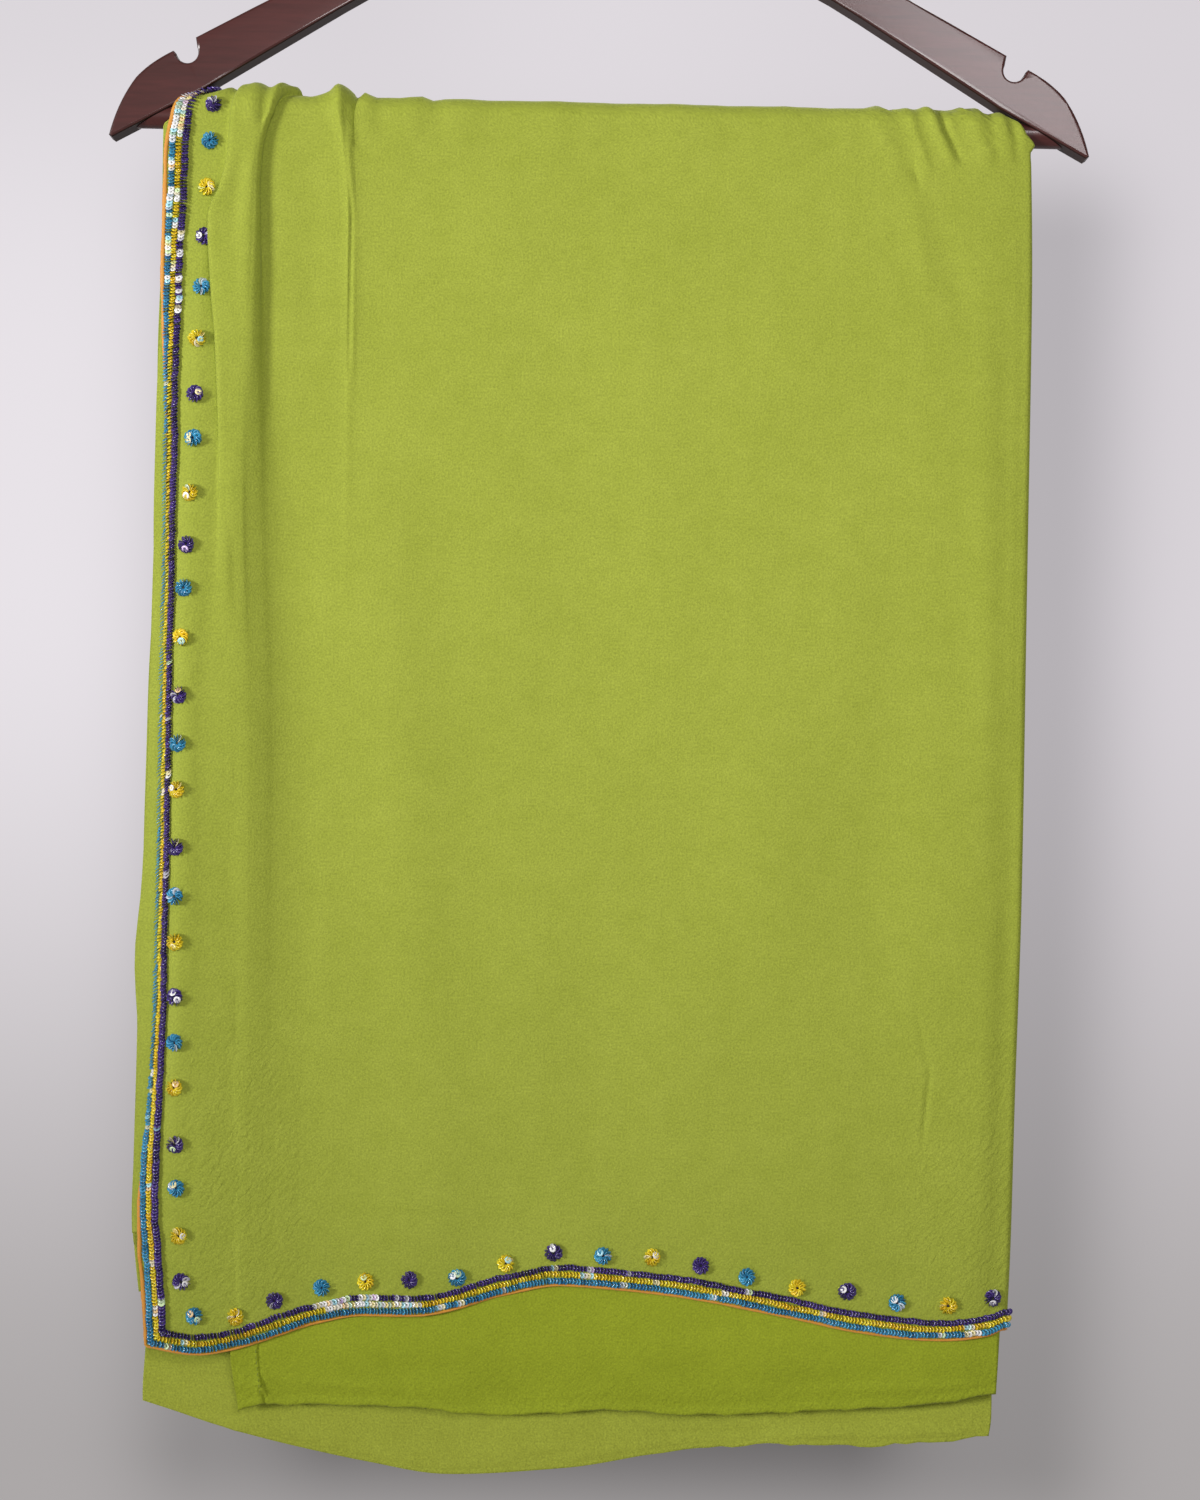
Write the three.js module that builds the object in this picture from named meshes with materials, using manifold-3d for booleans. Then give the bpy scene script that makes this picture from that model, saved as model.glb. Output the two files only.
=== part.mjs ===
// A crepe saree, folded lengthwise into a narrow stack and hung over the round bar of a notched
// wooden hanger. Millimetres, +Z up, the front faces -Y. The origin is the inner top of the hook,
// the line on which a rail carries the hanger.
//
// Every layer of cloth runs down the front, over the bar and down the back. A place on it is
// given by `drop`, how far it lies below the bar's centre (negative on the bend over the bar, down
// to -BEND at the crown), by the side, and by `lift`, how far it stands off the innermost cloth
// line. Layers are 0.3 mm apart.
import * as THREE from 'three';
import * as BufferGeometryUtils from 'three/addons/utils/BufferGeometryUtils.js';
import Module from 'manifold-3d';

const wasm = await Module();
wasm.setup();

const FRONT = 1;
const BACK = -1;
const GAP = 0.3;

// hanger
const BOARD_THICKNESS = 13;
const BOARD_BEVEL = 1.2;
const ARCH_TOP = 118; // top edge of the board above the bar's centre, in the middle
const ARCH_BOTTOM = 88;
const TIP_X = 223.2;
const TIP_Z = -11.3;
const NOTCH_X = 188.3;
const NOTCH_Z = 28;
const NOTCH_RADIUS = 5;
const BAR_RADIUS = 6;
const BAR_SIDES = 24;
const TENON_RADIUS = 3.5;
const TENON_END_X = 211;
const TENON_START_X = 188;
const ARM_FOOT = [181.3, 10.8]; // underside of an arm, where it bends down to the tip
const TIP_FLAT = 1.5; // length of the small flat under the tip
const HOLE_SIDES = 16;

// hook
const WIRE_RADIUS = 1.9;
const HOOK_INNER_RADIUS = 19;
const HOOK_START = -55; // degrees on the ring, counted from +X towards +Z
const HOOK_END = 196;
const STEM_LENGTH = 30;
const STEM_IN_BOARD = 14;
const STEM_BEND = 9; // length of the curve from the stem into the ring
const RING_POINTS = 14;

const HOOK_RING_RADIUS = HOOK_INNER_RADIUS + WIRE_RADIUS;
const BOARD_TOP_Z = -2 * HOOK_INNER_RADIUS - WIRE_RADIUS - STEM_LENGTH;
const BAR_Z = BOARD_TOP_Z - ARCH_TOP;

// cloth
const SAREE_WIDTH = 1145;
const WALL = 1;
const LINE_RADIUS = BAR_RADIUS + GAP; // innermost cloth line round the bar
const BEND = LINE_RADIUS * Math.PI / 2; // quarter turn over the bar, along that line
const STACK_AT_BAR = 1; // the hidden layers, squeezed on the bar
const STACK_ON_FALL = 4; // the same layers, loose below it
const STACK_LOOSE_BELOW = 120;
const STACK_EDGE_BULGE = 0.8;
const STACK_EDGE_INSET = 1;
const STACK_FRONT_HEM = 508;
const STACK_BACK_HEM = 542;
const STACK_HEM_STEP = 6;
const STACK_STEP_SLOPE = 1;

// trim along the outer layer's cut edge and hems, outwards in: distance from the outer line
const TRIM = {
  piping: { side: [0, 1.9], hem: [0, 1.1] },
  blue: { side: [2.5, 5.6], hem: [1.5, 4.0], rise: 1 },
  yellow: { side: [5.9, 8.4], hem: [4.3, 6.9], rise: 1 },
  purple: { side: [8.7, 11.7], hem: [7.2, 9.8], rise: 1 },
};
const PIPING_HEIGHT = 1.8;
const NEST_CLEARANCE = 1; // layers inside the right fold stop this far short of it

// Places across the outer layer, in millimetres of cloth from the piping's outer line.
const MARGIN = 22; // crest of the raised margin
const BAND = { valley: 30, left: 35, right: 45, foot: 52 };
const CREASE = { foot: 80, top: 90, end: 102 };
const FOLD_STARTS = 380; // the rounded fold on the right
const FOLD_ENDS = 392;

const EDGES_AT_HEM = 560; // the drop at which a layer's edges are read to place its hems
const HEM_ROWS_START = 16; // evenly shared rows of the outer layer end this far above its hem

// Edges of the folded stack, a row for each height.
const STACK_EDGES = [
  { drop: -BEND, left: -173, right: 180 },
  { drop: -5, left: -182, right: 184.5 },
  { drop: 0, left: -190.5, right: 191 },
  { drop: 16, left: -197.5, right: 196.6 },
  { drop: 60, left: -198.4, right: 198 },
  { drop: 220, left: -199.2, right: 199 },
  { drop: 390, left: -202, right: 199.4 },
  { drop: 494, left: -201.8, right: 198.4 },
  { drop: 560, left: -195.4, right: 196.5 },
  { drop: 618, left: -191.6, right: 193.5 },
];

// Folds of the outer layer, a row for each height: the cut edge and how far it turns back, the
// crest of the margin, the soft band beside it, and the crease beyond.
const CROWN_FOLDS = {
  drop: -BEND, edge: -173.5, turn: 2.5, crest: -158, margin: 2.5,
  bandLeft: -155, band: 4, bandRight: -136, crease: -120.5, ridge: 4.6,
};
const FRONT_FOLDS = [
  CROWN_FOLDS,
  { drop: -5, edge: -182.5, turn: 1, crest: -166, margin: 1,
    bandLeft: -165, band: 4, bandRight: -141, crease: -118, ridge: 4 },
  { drop: 0, edge: -193, turn: 0.5, crest: -173, margin: 1,
    bandLeft: -171, band: 4, bandRight: -147, crease: -115, ridge: 3.2 },
  { drop: 17, edge: -196.3, turn: 0.5, crest: -174.5, margin: 1.5,
    bandLeft: -172.5, band: 4.5, bandRight: -153, crease: -111.6, ridge: 2.4 },
  { drop: 48, edge: -196.5, turn: 1, crest: -175.5, margin: 2,
    bandLeft: -173.5, band: 5, bandRight: -153.6, crease: -109.2, ridge: 1.8 },
  { drop: 105, edge: -196, turn: 5, crest: -178.5, margin: 5,
    bandLeft: -170.6, band: 5, bandRight: -154.8, crease: -107.2, ridge: 1.2 },
  { drop: 200, edge: -194.5, turn: 8.3, crest: -181.5, margin: 8,
    bandLeft: -166, band: 4, bandRight: -151, crease: -105.4, ridge: 0.5 },
  { drop: 300, edge: -193.5, turn: 9.2, crest: -183.5, margin: 9,
    bandLeft: -163, band: 2.6, bandRight: -145, crease: -104.5, ridge: 0 },
  { drop: 400, edge: -193.5, turn: 8.4, crest: -181.5, margin: 8.2,
    bandLeft: -160, band: 1, bandRight: -138, crease: -104, ridge: 0 },
  { drop: 490, edge: -195.6, turn: 5, crest: -178.5, margin: 5,
    bandLeft: -157, band: 0, bandRight: -134, crease: -104, ridge: 0 },
  { drop: 532, edge: -191.4, turn: 2.4, crest: -173, margin: 2.6,
    bandLeft: -154, band: 0, bandRight: -132, crease: -104, ridge: 0 },
  { drop: 562, edge: -190.2, turn: 0.4, crest: -168.5, margin: 1,
    bandLeft: -151, band: 0, bandRight: -130, crease: -104, ridge: 0 },
];
const BACK_FOLDS = [
  CROWN_FOLDS,
  { drop: -5, edge: -182.5, turn: 1, crest: -166, margin: 1,
    bandLeft: -163, band: 4, bandRight: -139, crease: -118.5, ridge: 4 },
  { drop: 0, edge: -192.5, turn: 0, crest: -171, margin: 1,
    bandLeft: -167, band: 3.6, bandRight: -143, crease: -117, ridge: 3.4 },
  { drop: 20, edge: -195.5, turn: 0.5, crest: -174, margin: 1.5,
    bandLeft: -168, band: 3.4, bandRight: -146, crease: -115, ridge: 2.8 },
  { drop: 90, edge: -195.5, turn: 1.5, crest: -174.5, margin: 2.5,
    bandLeft: -166, band: 3, bandRight: -144, crease: -112, ridge: 2 },
  { drop: 220, edge: -194.5, turn: 4, crest: -176, margin: 4.5,
    bandLeft: -163, band: 1.8, bandRight: -139, crease: -110, ridge: 1 },
  { drop: 380, edge: -195, turn: 3.4, crest: -175, margin: 4,
    bandLeft: -160, band: 0.8, bandRight: -134, crease: -109, ridge: 0 },
  { drop: 570, edge: -191, turn: 0.4, crest: -169.5, margin: 1,
    bandLeft: -156, band: 0, bandRight: -132, crease: -108, ridge: 0 },
];

// Lower edges on the side where each one shows, a row for each bend of the outline.
const OUTER_FRONT_HEM = [
  { x: -190, drop: 560.3 }, { x: -169, drop: 562.7 }, { x: -154, drop: 560.5 },
  { x: -122, drop: 549.3 }, { x: -106, drop: 545 }, { x: -74, drop: 543.7 },
  { x: -57, drop: 541 }, { x: -32, drop: 533.4 }, { x: -5, drop: 528.2 },
  { x: 38, drop: 531.1 }, { x: 104, drop: 541.6 }, { x: 128, drop: 546.2 },
  { x: 163, drop: 549.2 }, { x: 187, drop: 547 }, { x: 198, drop: 541.7 },
];
const INNER_END_HEM = [
  { x: -150, drop: 588.2 }, { x: -137, drop: 585.6 }, { x: -79, drop: 585.3 },
  { x: -38, drop: 588.2 }, { x: 22, drop: 584.8 }, { x: 46, drop: 586.3 },
  { x: 106, drop: 583.4 }, { x: 164, drop: 578.8 }, { x: 194, drop: 573.5 },
];
const LONG_LAYER_HEM = [
  { x: -195, drop: 587 }, { x: -156.7, drop: 598.2 }, { x: -123, drop: 606.4 },
  { x: -91.6, drop: 612.3 }, { x: -56, drop: 617.2 }, { x: -1, drop: 613.1 },
  { x: 40.6, drop: 605.6 }, { x: 70, drop: 602.2 }, { x: 106.7, drop: 599.9 },
  { x: 154.4, drop: 598.7 }, { x: 191, drop: 594.9 },
];
const INNER_END_LEFT = -153.3;
const INNER_END_LEFT_AT_HEM = -149.2;
const INNER_END_DROP = 588;

const BEND_ANGLES = [67.5, 45, 22.5];
const TOP_DROPS = [16, 38, 60, 85, STACK_LOOSE_BELOW]; // rows that all the layers share
const FRONT_SHARES = [0.1, 0.2, 0.31, 0.43, 0.56, 0.68, 0.79, 0.9, 1]; // of the way to the hem
const BACK_SHARES = [0.15, 0.35, 0.6, 0.85, 1];
const PLAIN_SHARES = [0.35, 0.7, 1];
const FOLD_STEPS = 6; // columns of the outer layer round its fold, and on the plain cloth before it
const STACK_COLUMNS = 8;

const COLOURS = {
  green: 0xa5b04c, greenShade: 0x95a23e, greenInner: 0x828e25, greenLow: 0x929838,
  orange: 0xe08a1e, blue: 0x2c86b8, yellow: 0xe2c61c, purple: 0x3c2a6e,
  wood: 0x482e2a, barWood: 0x4d3228, steel: 0xb9bcc0,
};

const radians = THREE.MathUtils.degToRad;
const mix = THREE.MathUtils.lerp;
const ease = (t) => THREE.MathUtils.smoothstep(t, 0, 1);
const evenly = (count) => Array.from({ length: count + 1 }, (_, k) => k / count);

/** The numbers of a list, with each step between two of them cut into equal parts. */
const divided = (stations, parts) => stations.slice(1)
  .flatMap((to, k) => evenly(parts).slice(1).map((u) => mix(stations[k], to, u)));

/** A value read from a table between its two nearest rows. */
function read(table, key, at, column) {
  const last = table.length - 1;
  if (at <= table[0][key]) return table[0][column];
  if (at >= table[last][key]) return table[last][column];
  const next = table.findIndex((row) => row[key] > at);
  const [low, high] = [table[next - 1], table[next]];
  return mix(low[column], high[column], (at - low[key]) / (high[key] - low[key]));
}

/** The point of a cloth layer at x, `drop` and `lift` on one side of the bar. */
function hang(side, x, drop, lift) {
  const radius = LINE_RADIUS + lift;
  if (drop >= 0) return new THREE.Vector3(x, -side * radius, BAR_Z - drop);
  const angle = (drop + BEND) / LINE_RADIUS;
  return new THREE.Vector3(x, -side * radius * Math.sin(angle), BAR_Z + radius * Math.cos(angle));
}

const stackThickness = (drop) => mix(STACK_AT_BAR, STACK_ON_FALL, ease(drop / STACK_LOOSE_BELOW));
const stackBottom = WALL + GAP;
const stackTop = (drop) => stackBottom + stackThickness(drop);
const innerEndTop = (drop) => stackTop(drop) + GAP + WALL;
const outerTop = (drop) => innerEndTop(drop) + GAP + WALL;
const stackLeft = (drop) => read(STACK_EDGES, 'drop', drop, 'left');
const foldRight = (drop) => read(STACK_EDGES, 'drop', drop, 'right');
const nestedRight = (drop) => foldRight(drop) - outerTop(drop) / 2 - NEST_CLEARANCE;

/** How much of the saree's width one side of a layer takes when the other hangs to `drop`. */
const restOfWidth = (drop, lift) => SAREE_WIDTH - drop - Math.PI * (LINE_RADIUS + lift);

/** A closed wall between two grids of points with the same rows and columns. */
function wallGeometry(outer, inner) {
  const [rows, columns] = [outer.length, outer[0].length];
  const positions = [...outer.flat(), ...inner.flat()].flatMap((p) => p.toArray());
  const outerAt = (row, column) => row * columns + column;
  const innerAt = (row, column) => (rows + row) * columns + column;
  const index = [];
  const quad = (a, b, c, d) => index.push(a, c, b, a, d, c);
  for (let row = 0; row + 1 < rows; row += 1) {
    for (let column = 0; column + 1 < columns; column += 1) {
      quad(outerAt(row, column), outerAt(row, column + 1),
        outerAt(row + 1, column + 1), outerAt(row + 1, column));
      quad(innerAt(row, column), innerAt(row + 1, column),
        innerAt(row + 1, column + 1), innerAt(row, column + 1));
    }
    quad(outerAt(row, 0), outerAt(row + 1, 0), innerAt(row + 1, 0), innerAt(row, 0));
    quad(outerAt(row + 1, columns - 1), outerAt(row, columns - 1),
      innerAt(row, columns - 1), innerAt(row + 1, columns - 1));
  }
  for (let column = 0; column + 1 < columns; column += 1) {
    quad(outerAt(0, column + 1), outerAt(0, column), innerAt(0, column), innerAt(0, column + 1));
    quad(outerAt(rows - 1, column), outerAt(rows - 1, column + 1),
      innerAt(rows - 1, column + 1), innerAt(rows - 1, column));
  }
  const geometry = new THREE.BufferGeometry();
  geometry.setAttribute('position', new THREE.Float32BufferAttribute(positions, 3));
  geometry.setIndex(index);
  return geometry;
}

/** A closed body through equal loops of points, its two ends capped as the flat `outline`. */
function loftGeometry(loops, outline) {
  const count = loops[0].length;
  const positions = loops.flat().flatMap((p) => p.toArray());
  const index = [];
  for (let loop = 0; loop + 1 < loops.length; loop += 1) {
    for (let k = 0; k < count; k += 1) {
      const [a, b] = [loop * count + k, loop * count + (k + 1) % count];
      index.push(a, b + count, b, a, a + count, b + count);
    }
  }
  const lastLoop = (loops.length - 1) * count;
  for (const [a, b, c] of THREE.ShapeUtils.triangulateShape(outline, [])) {
    index.push(a, c, b, lastLoop + a, lastLoop + b, lastLoop + c);
  }
  const geometry = new THREE.BufferGeometry();
  geometry.setAttribute('position', new THREE.Float32BufferAttribute(positions, 3));
  geometry.setIndex(index);
  return geometry;
}

/** Rows of a layer from its back hem over the bar to its front hem, a fixed drop or a share. */
function layerRows(backShares, frontShares) {
  const bend = BEND_ANGLES.map((angle) => radians(angle) * LINE_RADIUS - BEND);
  const near = [...bend.reverse(), 0, ...TOP_DROPS];
  const fall = (side, shares) => [
    ...near.map((drop) => ({ side, drop })), ...shares.map((share) => ({ side, share }))];
  return [...fall(BACK, backShares).reverse(), { side: FRONT, drop: -BEND },
    ...fall(FRONT, frontShares)];
}

/** The drop of a row whose layer ends at `hem`. */
const rowDrop = (row, hem) => row.drop ?? mix(STACK_LOOSE_BELOW, hem, row.share);

/** A plain layer: one wall from edge to edge, hung to the hems given for its two sides. */
function plainLayer({ left, right, top, frontHem, backHem, columns }) {
  const place = (row, u, thickness) => {
    const hem = row.side === FRONT ? frontHem : backHem;
    const drop = rowDrop(row, hem(mix(left(EDGES_AT_HEM), right(EDGES_AT_HEM), u)));
    return hang(row.side, mix(left(drop), right(drop), u), drop, top(drop) - thickness);
  };
  const rows = layerRows(PLAIN_SHARES, PLAIN_SHARES);
  const grid = (thickness) => rows.map((row) => evenly(columns).map((u) => place(row, u, thickness)));
  return wallGeometry(grid(0), grid(WALL));
}

/** The layer that hangs lowest at the back, next to the bar. */
function longLayer() {
  const backHem = (x) => read(LONG_LAYER_HEM, 'x', x, 'drop');
  return plainLayer({
    left: stackLeft,
    right: nestedRight,
    top: () => WALL,
    backHem,
    frontHem: (x) => restOfWidth(backHem(x), WALL / 2),
    columns: 14,
  });
}

/** The saree's inner end, whose cut edge and hem show below the outer layer. */
function innerEndPanel() {
  const frontHem = (x) => read(INNER_END_HEM, 'x', x, 'drop');
  return plainLayer({
    left: (drop) => mix(INNER_END_LEFT, INNER_END_LEFT_AT_HEM, ease(drop / INNER_END_DROP)),
    right: nestedRight,
    top: innerEndTop,
    frontHem,
    backHem: (x) => restOfWidth(frontHem(x), innerEndTop(0) - WALL / 2),
    columns: 12,
  });
}

/** Section of the hidden layers: flat faces, with a rounded fold for each third at the edges. */
function stackSection(drop, top, bottom) {
  const left = stackLeft(drop) + STACK_EDGE_INSET;
  const right = nestedRight(drop) - STACK_EDGE_BULGE;
  const height = top - bottom;
  const between = evenly(STACK_COLUMNS).slice(1, -1);
  const edge = [[0, 1], [1, 5 / 6], [0, 2 / 3], [1, 1 / 2], [0, 1 / 3], [1, 1 / 6], [0, 0]];
  const fold = (x, outward, [bulge, share]) =>
    [x + outward * bulge * STACK_EDGE_BULGE, bottom + height * share];
  return [
    ...between.map((u) => [mix(left, right, u), top]),
    ...edge.map((step) => fold(right, 1, step)),
    ...between.map((u) => [mix(right, left, u), bottom]),
    ...[...edge].reverse().map((step) => fold(left, -1, step)),
  ];
}

/** All the layers that don't show, as one rounded body whose hems end in steps. */
function foldedLayers() {
  const hemOf = (side) => (side === FRONT ? STACK_FRONT_HEM : STACK_BACK_HEM);
  const steps = (side) => [2 / 3, 1 / 3].flatMap((part, k) => [
    { side, drop: hemOf(side) + k * STACK_HEM_STEP + STACK_STEP_SLOPE, part },
    { side, drop: hemOf(side) + (k + 1) * STACK_HEM_STEP, part },
  ]);
  const rows = [...steps(BACK).reverse(), ...layerRows(PLAIN_SHARES, PLAIN_SHARES), ...steps(FRONT)];
  const section = (row) => {
    const drop = rowDrop(row, hemOf(row.side));
    const top = stackBottom + stackThickness(drop) * (row.part ?? 1);
    return { drop, points: stackSection(drop, top, stackBottom) };
  };
  const loops = rows.map((row) => {
    const { drop, points } = section(row);
    return points.map(([x, lift]) => hang(row.side, x, drop, lift));
  });
  return loftGeometry(loops, section(rows[0]).points.map(([x, lift]) => new THREE.Vector2(x, lift)));
}

/** Knots of the outer layer's section at one height: place along the cloth, x and rise. */
function sectionKnots(side, drop) {
  const folds = side === FRONT ? FRONT_FOLDS : BACK_FOLDS;
  const at = (column) => read(folds, 'drop', drop, column);
  const [bandLeft, bandRight, crease] = [at('bandLeft'), at('bandRight'), at('crease')];
  const valley = Math.min(at('margin'), at('band')) * 0.5;
  return [
    { along: MARGIN, x: at('crest'), rise: at('margin') },
    { along: BAND.valley, x: bandLeft, rise: valley },
    { along: BAND.left, x: mix(bandLeft, bandRight, 0.3), rise: at('band') },
    { along: BAND.right, x: mix(bandLeft, bandRight, 0.72), rise: at('band') * 0.95 },
    { along: BAND.foot, x: bandRight, rise: 0 },
    { along: CREASE.foot, x: crease - 9, rise: 0 },
    { along: CREASE.top, x: crease, rise: at('ridge') },
    { along: CREASE.end, x: crease + 14, rise: 0 },
    { along: FOLD_STARTS, x: foldRight(drop) - outerTop(drop) / 2, rise: 0 },
  ];
}

const OUTER_COLUMNS = [
  ...TRIM.blue.side, TRIM.yellow.side[1], TRIM.purple.side[1],
  ...divided([TRIM.purple.side[1], MARGIN, ...Object.values(BAND), ...Object.values(CREASE)], 2),
  ...divided([CREASE.end, FOLD_STARTS, FOLD_ENDS], FOLD_STEPS),
];

/** x and lift of the outer layer's outer face, `along` mm from the piping's outer line. */
function outerSection(side, drop, along) {
  const top = outerTop(drop);
  const knots = sectionKnots(side, drop);
  if (along < MARGIN) {
    const folds = side === FRONT ? FRONT_FOLDS : BACK_FOLDS;
    const share = (MARGIN - along) / MARGIN;
    const edge = read(folds, 'drop', drop, 'edge');
    const turn = read(folds, 'drop', drop, 'turn');
    return new THREE.Vector2(mix(knots[0].x, edge, share), top + knots[0].rise - turn * share ** 2);
  }
  if (along > FOLD_STARTS) {
    const angle = Math.PI * (along - FOLD_STARTS) / (FOLD_ENDS - FOLD_STARTS);
    const { x } = knots[knots.length - 1];
    return new THREE.Vector2(x + Math.sin(angle) * top / 2, top / 2 + Math.cos(angle) * top / 2);
  }
  const next = Math.max(1, knots.findIndex((knot) => knot.along >= along));
  const [low, high] = [knots[next - 1], knots[next]];
  const t = (along - low.along) / (high.along - low.along);
  return new THREE.Vector2(mix(low.x, high.x, t), top + mix(low.rise, high.rise, ease(t)));
}

/** The outer layer's point at `along`, moved out of its face by `out`. */
function outerPoint(side, drop, along, out) {
  const reach = 0.5;
  const here = outerSection(side, drop, along);
  const before = outerSection(side, drop, Math.max(along - reach, 0));
  const after = outerSection(side, drop, Math.min(along + reach, FOLD_ENDS));
  const way = after.sub(before).normalize();
  return hang(side, here.x - way.y * out, drop, here.y + way.x * out);
}

/** Lowest line of the outer layer, at the column `along`. */
function outerHem(side, along) {
  const { x } = outerSection(side, EDGES_AT_HEM, along);
  const front = read(OUTER_FRONT_HEM, 'x', x, 'drop');
  return side === FRONT ? front : restOfWidth(front, outerTop(0) - WALL / 2);
}

/** The drop of a row: a share of the way to the trimmed hem, or a height above the hem. */
function outerDrop(row, along) {
  const hem = outerHem(row.side, along);
  return row.above === undefined ? rowDrop(row, hem - HEM_ROWS_START) : hem - row.above;
}

const HEM_LINES = [TRIM.purple.hem[1], TRIM.yellow.hem[1], TRIM.blue.hem[1], TRIM.blue.hem[0]];
const OUTER_ROWS = [
  ...[...HEM_LINES].reverse().map((above) => ({ side: BACK, above })),
  ...layerRows(BACK_SHARES, FRONT_SHARES),
  ...HEM_LINES.map((above) => ({ side: FRONT, above })),
];

/** The saree's outer end: trimmed cut edge on the left, round the folded edge on the right. */
function outerPanel() {
  const grid = (out) => OUTER_ROWS.map((row) => OUTER_COLUMNS.map((along) =>
    outerPoint(row.side, outerDrop(row, along), along, out)));
  return wallGeometry(grid(0), grid(-WALL));
}

/** A strip of trim along the back hem, up the cut edge, over the bar and along the front hem. */
function trimStrip({ side: sideBand, hem: hemBand }, low, high) {
  const columns = OUTER_COLUMNS.filter((along) => along > sideBand[1]);
  const sideRows = OUTER_ROWS.filter((row) => row.above === undefined);
  const hemStations = (side) => columns.map((along) => ({ side, along }));
  const stations = [
    ...hemStations(BACK).reverse(), { side: BACK, corner: true },
    ...sideRows.map((row) => ({ side: row.side, row })),
    { side: FRONT, corner: true }, ...hemStations(FRONT),
  ];
  const place = (station, line, out) => {
    const { side, row } = station;
    const along = station.along ?? sideBand[line];
    const drop = row ? outerDrop(row, along) : outerHem(side, along) - hemBand[line];
    return outerPoint(side, drop, along, out);
  };
  const grid = (out) => stations.map((station) => [0, 1].map((line) => place(station, line, out)));
  return wallGeometry(grid(high), grid(low));
}

const sequinRow = (band) => trimStrip(band, GAP, GAP + band.rise);
const edgePiping = () => trimStrip(TRIM.piping, -WALL, PIPING_HEIGHT - WALL);

/** A three.js geometry as a solid that can be cut. */
function solid(geometry) {
  const bare = geometry.clone();
  bare.deleteAttribute('normal');
  bare.deleteAttribute('uv');
  const merged = BufferGeometryUtils.mergeVertices(bare, 1e-4);
  return new wasm.Manifold(new wasm.Mesh({
    numProp: 3,
    vertProperties: new Float32Array(merged.attributes.position.array),
    triVerts: new Uint32Array(merged.index.array),
  }));
}

/** A cut solid as a three.js geometry. */
function geometryOf(cut) {
  const mesh = cut.getMesh();
  const geometry = new THREE.BufferGeometry();
  geometry.setAttribute('position', new THREE.BufferAttribute(mesh.vertProperties, 3));
  geometry.setIndex(new THREE.BufferAttribute(mesh.triVerts, 1));
  return geometry;
}

const CURVE_POINTS = 9;
const SHORTEST_EDGE = 0.3;

/** Outline of the board, z counted from the bar's centre. */
function boardOutline() {
  const upperSlope = [143.7, 56.9];
  const lowerSlope = [117.5, 50.4];
  const half = new THREE.Path();
  half.moveTo(0, ARCH_BOTTOM);
  half.bezierCurveTo(40, ARCH_BOTTOM, 78, 75, ...lowerSlope);
  half.lineTo(160.5, 23.7);
  half.lineTo(...ARM_FOOT);
  half.lineTo(TIP_X - TIP_FLAT, TIP_Z);
  half.lineTo(TIP_X, TIP_Z + 1);
  half.quadraticCurveTo(219.5, 5, 211.5, 16);
  half.quadraticCurveTo(205.5, 23, 194.6, 28.6);
  half.absarc(NOTCH_X, NOTCH_Z, NOTCH_RADIUS, radians(-10), radians(-205), true);
  half.lineTo(184.6, 34.8);
  half.lineTo(157.7, 49.5);
  half.lineTo(...upperSlope);
  half.bezierCurveTo(89, 86.7, 45, ARCH_TOP, 0, ARCH_TOP);
  const points = half.getPoints(CURVE_POINTS);
  const right = points.filter((p, k) => k === 0 || p.distanceTo(points[k - 1]) > SHORTEST_EDGE);
  const left = right.slice(1, -1).reverse().map((p) => new THREE.Vector2(-p.x, p.y));
  return new THREE.Shape([...right, ...left]);
}

/** Turns a geometry drawn in X, Y and lying from 0 to `depth` along Z to stand on the XZ plane. */
function standUp(geometry, depth) {
  return geometry.translate(0, 0, -depth / 2).rotateX(Math.PI / 2).translate(0, 0, BAR_Z);
}

/** A round rod along X between two places. */
function rodAlongX(radius, sides, from, to) {
  const rod = new THREE.CylinderGeometry(radius, radius, to - from, sides);
  return rod.rotateZ(Math.PI / 2).translate((from + to) / 2, 0, BAR_Z);
}

/** The flat wooden board: two sloping arms, strap notches, and sockets for the bar and hook. */
function hangerBoard() {
  const depth = BOARD_THICKNESS - 2 * BOARD_BEVEL;
  const blank = new THREE.ExtrudeGeometry(boardOutline(), {
    depth, bevelEnabled: true, bevelThickness: BOARD_BEVEL, bevelSize: BOARD_BEVEL,
    bevelOffset: -BOARD_BEVEL, bevelSegments: 2,
  });
  let board = solid(standUp(blank, depth));
  for (const sign of [1, -1]) {
    const ends = [sign * TENON_START_X, sign * (TENON_END_X + GAP)].sort((a, b) => a - b);
    board = board.subtract(solid(rodAlongX(TENON_RADIUS + GAP, HOLE_SIDES, ...ends)));
  }
  const radius = WIRE_RADIUS + GAP;
  const hole = new THREE.CylinderGeometry(radius, radius, 2 * STEM_IN_BOARD, HOLE_SIDES);
  board = board.subtract(solid(hole.rotateX(Math.PI / 2).translate(0, 0, BOARD_TOP_Z)));
  return geometryOf(board);
}

const COPE_LENGTH = 120; // block that cuts the bar off along an arm's underside
const COPE_HEIGHT = 60;

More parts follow.
